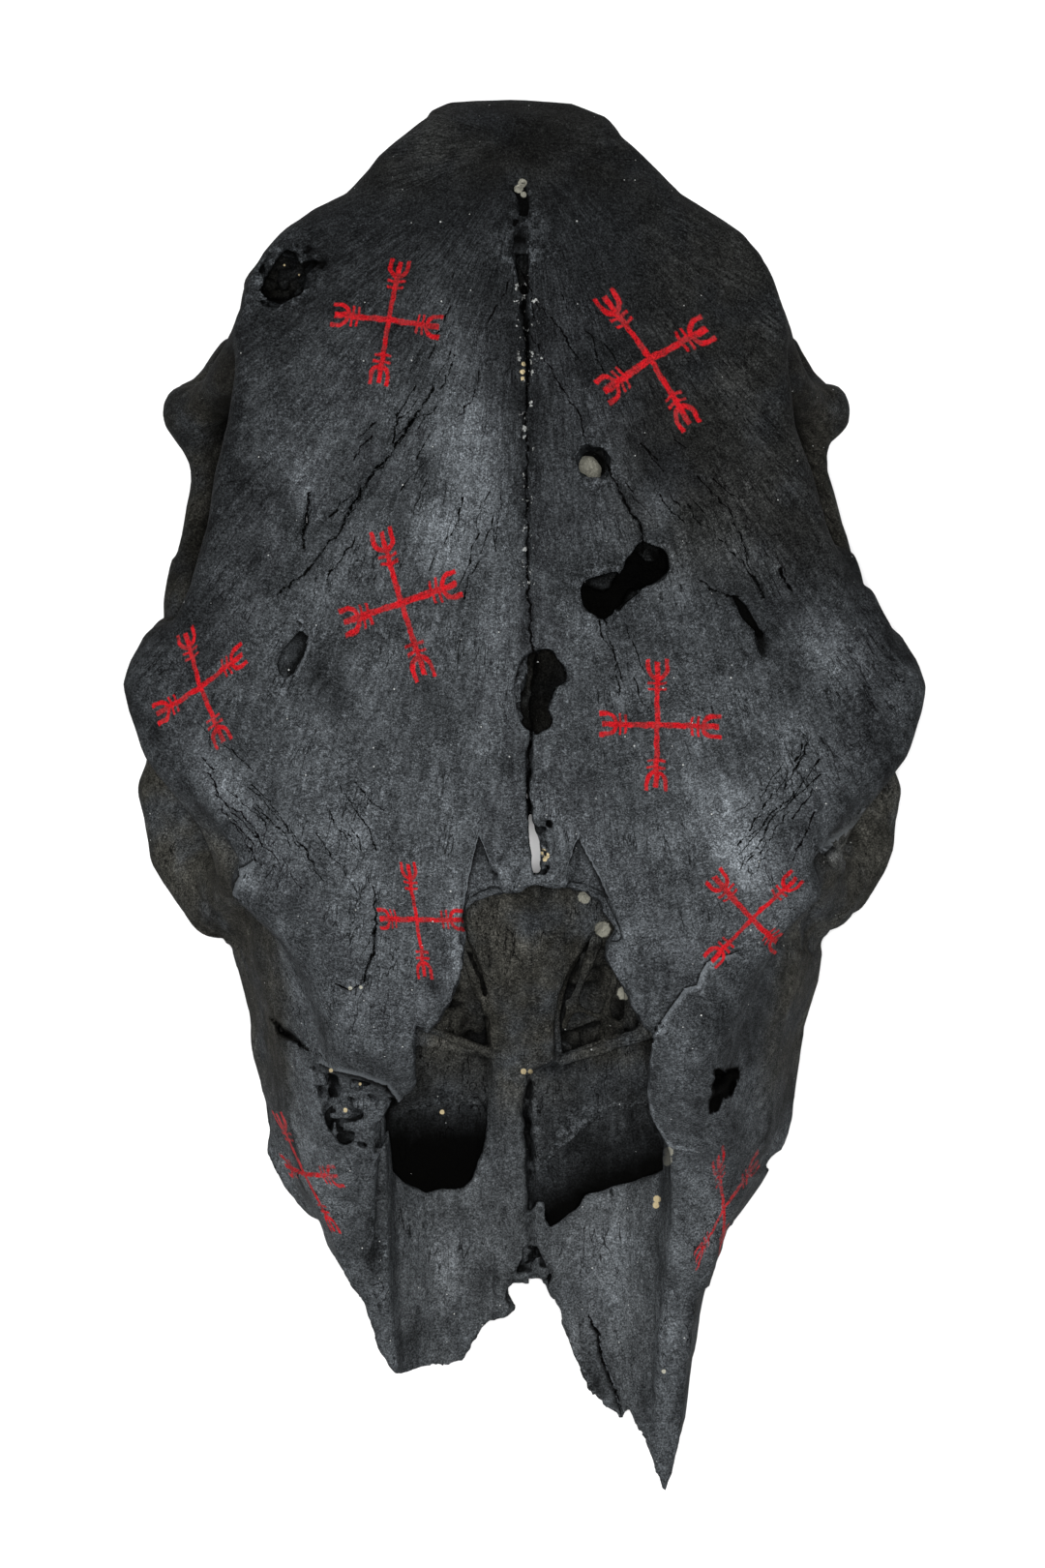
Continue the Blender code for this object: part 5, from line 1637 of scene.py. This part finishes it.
def bumped(tree, shader, height, strength):
    """Gives the shader a relief of this height in millimetres."""
    bump = put(tree, "Bump", {"Strength": strength, "Distance": MM, "Height": height})
    tree.links.new(bump.outputs["Normal"], shader.inputs["Normal"])


def skull_place_group():
    """Object coordinates in the skull's own frame, in millimetres, and where the eye sees them against the
    plane of the forehead."""
    outputs = [("Place", "Vector"), ("Sight", "Vector")]
    tree, given, out = group("skull place", [("Vector", "Vector")], outputs)
    millimetres = stretched(tree, given["Vector"], (1000, 1000, 1000))
    flat = put(tree, "VectorMath", {0: millimetres, 1: ORIGIN}, operation="ADD").outputs[0]
    turning = {"Vector": flat, "Angle": -rest_angle()}
    turned = put(tree, "VectorRotate", turning, rotation_type="X_AXIS").outputs[0]
    x, u, w = split(tree, turned)
    nearer = calc(tree, "DIVIDE", EYE_HEIGHT, minus(tree, EYE_HEIGHT, w))
    sight = (scaled(tree, minus(tree, x, EYE_X), nearer, EYE_X),
             scaled(tree, minus(tree, u, EYE_U), nearer, EYE_U))
    return finished(tree, out, Place=turned, Sight=joined(tree, *sight, 0.0))


def fibre_fan_group():
    """Coordinates that follow the bone's fibres, which fan out from the poll: across, along, and depth."""
    tree, given, out = group("fibre fan", [("Place", "Vector")], [("Fan", "Vector")])
    x, u, w = split(tree, given["Place"])
    down = minus(tree, 138.0, u)
    turn = calc(tree, "ARCTAN2", x, down)
    reach = calc(tree, "SQRT", plus(tree, times(tree, x, x), times(tree, down, down)))
    return finished(tree, out, Fan=joined(tree, times(tree, turn, 90.0), reach, w))


def grit_group():
    """The grain of weathered bone: its height in millimetres, and how light its grains are, near 1."""
    tree, given, out = group("grit", [("Place", "Vector"), ("Grain", "Float", 0.5)],
                             [("Height", "Float"), ("Lightness", "Float")])
    scale = calc(tree, "DIVIDE", 1.0, given["Grain"])
    fine = cloudy(tree, given["Place"], scale, 3.0, 0.75)
    lumps = cloudy(tree, given["Place"], times(tree, scale, 0.3), 3.0, 0.6)
    height = plus(tree, times(tree, fine, 0.30), times(tree, lumps, 0.45))
    grains = plus(tree, times(tree, fine, 0.75), times(tree, lumps, 0.25))
    return finished(tree, out, Height=height, Lightness=calc(tree, "POWER", times(tree, grains, 1.97), 3.8))


def streaks_group():
    """Long broken streaks along the fibres."""
    inputs = [("Fan", "Vector"), ("Width", "Float", 1.2), ("Length", "Float", 12.0)]
    tree, given, out = group("streaks", inputs, [("Mask", "Float")])
    x, u, w = split(tree, given["Fan"])
    bent = joined(tree, calc(tree, "DIVIDE", x, given["Width"]), calc(tree, "DIVIDE", u, given["Length"]),
                  calc(tree, "DIVIDE", w, 6.0))
    return finished(tree, out, Mask=fade(tree, cloudy(tree, bent, 1.0, 4.0, 0.62), 0.38, 0.66))


def wrinkles_group():
    """Fine wrinkles along the fibres, as on leather: 1 in a crevice."""
    inputs = [("Fan", "Vector"), ("Place", "Vector"), ("Width", "Float", 1.5)]
    tree, given, out = group("wrinkles", inputs, [("Crevice", "Float")])
    shift = put(tree, "TexNoise", {"Vector": given["Place"], "Scale": 0.5, "Detail": 2.0}).outputs["Color"]
    bending = {0: shift, 1: (3, 3, 0), 2: given["Fan"]}
    bent = put(tree, "VectorMath", bending, operation="MULTIPLY_ADD").outputs[0]
    run = dimmed(tree, stretched(tree, bent, (1.0, 0.6, 0.7)), calc(tree, "DIVIDE", 1.0, given["Width"]))
    lines = []
    for shift, scale in ((0.0, 1.0), (31.0, 1.7)):
        moved = put(tree, "VectorMath", {0: run, 1: (shift, shift, shift)}, operation="ADD").outputs[0]
        level = unsigned(tree, minus(tree, cloudy(tree, moved, scale, 2.0, 0.6), 0.5))
        lines.append(fade(tree, level, 0.035, 0.0))
    strength = fade(tree, cloudy(tree, given["Place"], 0.15, 3.0, 0.6), 0.35, 0.65, 0.25, 1.0)
    return finished(tree, out, Crevice=times(tree, calc(tree, "MAXIMUM", *lines), strength))


def specks_group():
    """Sparse specks of dust: the share of cells that hold one, their size, and the cells' width."""
    inputs = [("Place", "Vector"), ("Share", "Float", 0.1), ("Size", "Float", 0.3),
              ("Cell", "Float", 3.0)]
    tree, given, out = group("specks", inputs, [("Mask", "Float")])
    sockets = {"Vector": given["Place"], "Scale": calc(tree, "DIVIDE", 1.0, given["Cell"])}
    cells = put(tree, "TexVoronoi", sockets).outputs
    away = times(tree, cells["Distance"], given["Cell"])
    chance = put(tree, "SeparateColor", {0: cells["Color"]}).outputs
    size = times(tree, given["Size"], plus(tree, 0.4, chance[1]))
    there = calc(tree, "LESS_THAN", chance[0], given["Share"])
    return finished(tree, out, Mask=times(tree, there, calc(tree, "LESS_THAN", away, size)))


def stave_group():
    """A four-armed stave: each arm a shaft, two bars and a three-pronged fork, painted by hand."""
    tree, given, out = group("painted stave", [("Stave", "Vector"), ("Place", "Vector")],
                             [("Mask", "Float")])
    shaft_half, shaft_end, bar_half, prong_half = 0.042, 0.96, 0.020, 0.034
    bars = ((0.53, 0.15), (0.63, 0.16))
    fork_centre, fork_radius, soft = 0.87, 0.155, 0.012
    first, second, strength = split(tree, given["Stave"])
    sockets = {"Vector": given["Place"], "Scale": 0.32, "Detail": 4.0, "Roughness": 0.6}
    wobble = put(tree, "TexNoise", sockets).outputs["Color"]
    shake = put(tree, "SeparateColor", {0: wobble}).outputs
    sway = [scaled(tree, shake[k], 0.085, -0.0425) for k in (0, 1)]
    a = unsigned(tree, plus(tree, first, sway[0]))
    b = unsigned(tree, plus(tree, second, sway[1]))
    along = calc(tree, "MAXIMUM", a, b)
    beside = calc(tree, "MINIMUM", a, b)

    def stroke(distance, half_width):
        return fade(tree, distance, half_width + soft, half_width - soft)

    def before(limit):
        return fade(tree, along, limit + soft, limit - soft)

    marks = [times(tree, stroke(beside, shaft_half), before(shaft_end))]
    slanted = scaled(tree, beside, -0.12, along)
    for place, reach in bars:
        bar = stroke(unsigned(tree, minus(tree, slanted, place)), bar_half)
        marks.append(times(tree, bar, stroke(beside, reach)))
    behind = calc(tree, "MINIMUM", minus(tree, along, fork_centre), 0.0)
    bow = calc(tree, "SQRT", plus(tree, times(tree, behind, behind), times(tree, beside, beside)))
    prongs = stroke(unsigned(tree, minus(tree, bow, fork_radius)), prong_half)
    marks.append(times(tree, prongs, before(1.0)))
    whole = marks[0]
    for mark in marks[1:]:
        whole = calc(tree, "MAXIMUM", whole, mark)
    rubbed = cloudy(tree, given["Place"], 0.9, 4.0, 0.7)
    patchy = cloudy(tree, given["Place"], 0.16, 2.0, 0.5)
    cover = plus(tree, times(tree, strength, 1.5), scaled(tree, rubbed, -1.1, -0.05))
    cover = plus(tree, cover, scaled(tree, patchy, 0.8, -0.4))
    return finished(tree, out, Mask=times(tree, whole, fade(tree, cover, 0.0, 0.5)))


CHAR = (0.0110, 0.0120, 0.0128, 1)
# Pale dry bone, also the colour of painted highlights
DRY_BONE_AND_HIGHLIGHT = (0.124, 0.136, 0.147, 1)
EARTH = (0.0135, 0.0130, 0.0105, 1)
DRY_EARTH = (0.120, 0.115, 0.096, 1)
# Black of soot in cracks, splits and wrinkles, also the colour of painted shade
SOOT_AND_SHADE = (0.0012, 0.0012, 0.0011, 1)
BARE_BONE = (0.45, 0.37, 0.22, 1)
PALE_BONE_AND_FLOOR_LIGHT = (0.27, 0.265, 0.22, 1)
DUST = (0.36, 0.37, 0.36, 1)
STAVE_RED = (0.38, 0.008, 0.012, 1)
WORN_RED = (0.23, 0.018, 0.020, 1)

# Small places where the bone is bare, then pale spots, partly pale bone and partly painted light that stands
# for the floor seen through small openings: place on the photograph, radius in millimetres, and the depths
# between which the spot lies
BARE_SPOTS = (
    ((561, 880), 0.65, (-9, 9)), ((565, 884), 0.60, (-9, 9)), ((563, 888), 0.45, (-9, 9)),
    ((294, 274), 0.22, (-30, 0)), ((309, 284), 0.2, (-30, 0)), ((541, 1107), 0.6, (-90, -50)),
    ((548, 1107), 0.5, (-90, -50)), ((457, 1149), 0.5, (-110, -70)), ((679, 1239), 0.75, (-90, -40)),
    ((678, 1245), 0.7, (-90, -40)), ((541, 376), 0.45, (-9, 9)), ((540, 384), 0.50, (-9, 9)),
    ((540, 391), 0.4, (-9, 9)), ((342, 1106), 0.4, (-70, 0)), ((357, 1147), 0.45, (-70, 0)),
    ((372, 1120), 0.3, (-70, 0)),
)
PALE_AND_FLOOR_LIGHT_SPOTS = (
    ((540, 189), 0.9, (-30, 5)), ((536, 195), 0.9, (-30, 5)), ((541, 201), 0.6, (-30, 5)),
    ((612, 481), 4.5, (-105, -76)), ((604, 927), 1.3, (-95, -30)), ((623, 960), 1.6, (-95, -30)),
    ((645, 1026), 1.4, (-95, -30)), ((691, 1190), 1.0, (-85, -20)), ((689, 1199), 1.1, (-85, -20)),
    ((686, 1417), 0.45, (-90, -40)), ((362, 1021), 0.4, (-40, 5)), ((373, 1020), 0.35, (-40, 5)),
)


def bare_places(tree, place, sight, listed):
    """Ragged spots at the listed places: 1 inside them."""
    depth = split(tree, place)[2]
    found = None
    for spot, radius, (low, high) in listed:
        ((x, u),) = read_off(spot)
        away = put(tree, "VectorMath", {0: sight, 1: (x, u, 0)}, operation="DISTANCE").outputs["Value"]
        here = fade(tree, away, radius * 2.2, radius * 0.6)
        here = times(tree, here, calc(tree, "GREATER_THAN", depth, low))
        here = times(tree, here, calc(tree, "LESS_THAN", depth, high))
        found = here if found is None else calc(tree, "MAXIMUM", found, here)
    ragged = scaled(tree, cloudy(tree, place, 1.3, 3.0), 0.7, -0.35)
    return fade(tree, plus(tree, found, ragged), 0.5, 0.8)


def blackened_bone(groups):
    made, tree, shader = new_material("blackened bone")
    coordinates = put(tree, "TexCoord").outputs["Object"]
    skull = use(tree, groups["place"], Vector=coordinates)
    place = skull["Place"]
    fan = use(tree, groups["fan"], Place=place)["Fan"]
    grit = use(tree, groups["grit"], Place=place, Grain=0.5)
    streaks = use(tree, groups["streaks"], Fan=fan, Width=1.3, Length=11.0)["Mask"]
    names = ("dry", "earthy", "edge", "hollow", "facing", "crack")
    dry, earthy, edge, hollow, facing, crack = (attribute(tree, name) for name in names)
    patches = cloudy(tree, place, 0.06, 3.0, 0.45)
    uneven = plus(tree, scaled(tree, patches, 1.3, -0.65),
                  scaled(tree, streaks, 0.26, -0.12))
    fibres = cloudy(tree, stretched(tree, fan, (1.3, 0.12, 0.6)), 1.0, 4.0, 0.65)
    # The dry attribute holds scuffed bone and a painted highlight along the right plate's edge
    share = scaled(tree, dry, 0.8, 0.35)
    scuffs_and_highlights = put(tree, "Clamp", {0: scaled(tree, uneven, share, dry)}).outputs[0]
    worn_edge = times(tree, edge, fade(tree, cloudy(tree, place, 0.5, 4.0, 0.6), 0.4, 0.62))
    scuffs_and_highlights = calc(tree, "MAXIMUM", scuffs_and_highlights, times(tree, worn_edge, 0.38))
    colour = blended(tree, scuffs_and_highlights, CHAR, DRY_BONE_AND_HIGHLIGHT)
    brown = times(tree, earthy, fade(tree, cloudy(tree, place, 0.07, 3.0, 0.5), 0.25, 0.6))
    earth = blended(tree, scuffs_and_highlights, EARTH, DRY_EARTH)
    colour = stained(tree, colour, brown, 0.85, earth)
    light = times(tree, grit["Lightness"], fade(tree, fibres, 0.34, 0.66, 0.86, 1.16))
    colour = dimmed(tree, colour, light)
    # Painted shade in hollows, pits and pores, beside the forehead's layer and below broken steps
    colour = blended(tree, hollow, colour, SOOT_AND_SHADE)
    wrinkles = use(tree, groups["wrinkles"], Fan=fan, Place=place, Width=1.1)["Crevice"]
    on_snout = fade(tree, split(tree, place)[1], -90.0, -120.0)
    wrinkles = times(tree, wrinkles, scaled(tree, on_snout, -0.75, 1.0))
    colour = stained(tree, colour, wrinkles, 0.5, SOOT_AND_SHADE)
    # Painted highlight along the upper edge of each step, and painted shade below it
    torn = cloudy(tree, place, 0.8, 3.0, 0.6)
    step = scaled(tree, torn, 0.5, minus(tree, attribute(tree, "step"), 0.25))
    lit = times(tree, fade(tree, step, -1.3, -0.25), fade(tree, step, 0.05, -0.05))
    colour = stained(tree, colour, lit, 0.5, DRY_BONE_AND_HIGHLIGHT)
    shaded = times(tree, fade(tree, step, 1.0, 0.1), fade(tree, step, -0.05, 0.05))
    colour = stained(tree, colour, shaded, 0.85, SOOT_AND_SHADE)
    wisps = cloudy(tree, stretched(tree, fan, (0.62, 0.045, 0.3)), 1.0, 3.0, 0.55)
    where = fade(tree, cloudy(tree, place, 0.06, 2.0, 0.5), 0.50, 0.60)
    splits = times(tree, fade(tree, unsigned(tree, minus(tree, wisps, 0.5)), 0.012, 0.003), where)
    colour = stained(tree, colour, splits, 0.8, SOOT_AND_SHADE)

    shaken = scaled(tree, cloudy(tree, place, 1.1, 3.0, 0.7), 1.2, -0.6)
    broken = scaled(tree, cloudy(tree, place, 0.45, 2.0, 0.6), 0.9, -0.40)
    line = plus(tree, unsigned(tree, plus(tree, crack, shaken)), broken)
    cracked = fade(tree, line, 0.30, 0.12)
    colour = blended(tree, cracked, colour, SOOT_AND_SHADE)

    stave = use(tree, groups["stave"], Stave=attribute(tree, "stave", "Vector"), Place=place)["Mask"]
    red = blended(tree, fade(tree, cloudy(tree, place, 0.35, 3.0, 0.6), 0.40, 0.62), STAVE_RED, WORN_RED)
    red = dimmed(tree, red, fade(tree, grit["Lightness"], 0.1, 1.1, 0.45, 1.05))
    colour = blended(tree, stave, colour, red)

    specks = use(tree, groups["specks"], Place=place, Share=0.22, Size=0.17, Cell=2.5)["Mask"]
    colour = blended(tree, specks, colour, DUST)
    x, u, w = split(tree, place)
    flakes = fade(tree, cloudy(tree, place, 0.55, 3.0, 0.6), 0.61, 0.65, 0.0, 0.8)
    beside_crack = fade(tree, unsigned(tree, crack), 1.5, 0.9)
    median = times(tree, fade(tree, unsigned(tree, x), 5.0, 4.0), fade(tree, u, 18.0, 24.0))
    flakes = times(tree, times(tree, flakes, beside_crack), median)
    colour = blended(tree, flakes, colour, DUST)
    # Pale spots, partly painted light for the floor seen through small openings, then bare bone
    for spots, bone in ((PALE_AND_FLOOR_LIGHT_SPOTS, PALE_BONE_AND_FLOOR_LIGHT), (BARE_SPOTS, BARE_BONE)):
        spots = times(tree, bare_places(tree, place, skull["Sight"], spots), facing)
        colour = blended(tree, spots, colour, bone)
    tree.links.new(colour, shader.inputs["Base Color"])

    rough = plus(tree, 0.70, times(tree, scuffs_and_highlights, 0.25))
    rough = scaled(tree, stave, -0.22, rough)
    tree.links.new(rough, shader.inputs["Roughness"])
    shader.inputs["Specular IOR Level"].default_value = 0.01

    height = scaled(tree, grit["Height"], 1.5, times(tree, fibres, 0.25))
    for mask, rise in ((splits, -0.2), (wrinkles, -0.22), (cracked, -0.45), (stave, 0.04)):
        height = scaled(tree, mask, rise, height)
    bumped(tree, shader, height, 1.0)
    return made


ENAMEL = (0.075, 0.066, 0.048, 1)
STAINED_ENAMEL = (0.020, 0.018, 0.014, 1)
DENTINE = (0.012, 0.0105, 0.008, 1)


def darkened_enamel(groups):
    made, tree, shader = new_material("darkened enamel")
    place = use(tree, groups["place"], Vector=put(tree, "TexCoord").outputs["Object"])["Place"]
    grit = use(tree, groups["grit"], Place=place, Grain=0.6)
    enamel, gum = (attribute(tree, name) for name in ("enamel", "gum"))
    stains = cloudy(tree, stretched(tree, place, (0.5, 0.5, 0.14)), 1.0, 4.0, 0.6)
    colour = blended(tree, fade(tree, stains, 0.38, 0.62), STAINED_ENAMEL, ENAMEL)
    tartar = fade(tree, plus(tree, gum, cloudy(tree, place, 0.5, 4.0, 0.6)), 0.9, 1.2)
    colour = blended(tree, tartar, colour, CHAR)
    dentine = minus(tree, 1.0, enamel)
    colour = blended(tree, dentine, colour, DENTINE)
    specks = use(tree, groups["specks"], Place=place, Share=0.12, Size=0.2, Cell=2.4)["Mask"]
    colour = blended(tree, specks, colour, DUST)
    tree.links.new(colour, shader.inputs["Base Color"])
    rough = scaled(tree, stains, 0.35, 0.18)
    rough = plus(tree, rough, times(tree, calc(tree, "MAXIMUM", tartar, dentine), 0.35))
    tree.links.new(rough, shader.inputs["Roughness"])
    shader.inputs["Specular IOR Level"].default_value = 0.5
    growth = cloudy(tree, stretched(tree, place, (0.15, 0.15, 2.2)), 1.0, 2.0, 0.5)
    upright = cloudy(tree, stretched(tree, place, (2.4, 2.4, 0.12)), 1.0, 2.0, 0.5)
    height = scaled(tree, growth, 0.12, times(tree, upright, 0.16))
    height = scaled(tree, grit["Height"], 0.25, height)
    bumped(tree, shader, height, 0.7)
    return made


def shared_groups():
    return {"place": skull_place_group(), "fan": fibre_fan_group(), "grit": grit_group(),
            "streaks": streaks_group(), "specks": specks_group(), "stave": stave_group(),
            "wrinkles": wrinkles_group()}


def make_cranium(groups):
    clay = sculpt(VOXEL)
    made = thinned("cranium_bone", clay.mesh("cranium_bone"), BONE_TRIANGLES)
    mesh = made.data
    straight = get_points(mesh)
    leant = straight.copy()
    leant[:, 0] += lean(straight[:, 1], straight[:, 2])
    mesh.vertices.foreach_set("co", leant.ravel())
    mesh.update()
    paint(mesh, clay, straight, leant)
    mesh.vertices.foreach_set("co", (leant * MM).ravel())
    mesh.transform(to_world)
    inside = np.clip(get_points(mesh), np.array(cad_low) + 1e-5, np.array(cad_high) - 1e-5)
    mesh.vertices.foreach_set("co", inside.ravel())
    dress(mesh, BONE_SHARP, blackened_bone(groups))
    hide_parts("cranium")
    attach(made, "root")
    print("cranium", len(mesh.polygons), "faces")


set_camera()
set_studio()
groups = shared_groups()
make_cranium(groups)
enamel = darkened_enamel(groups)
for number in range(len(TEETH)):
    make_tooth(-1, "left", number, enamel)
    make_tooth(1, "right", number, enamel)
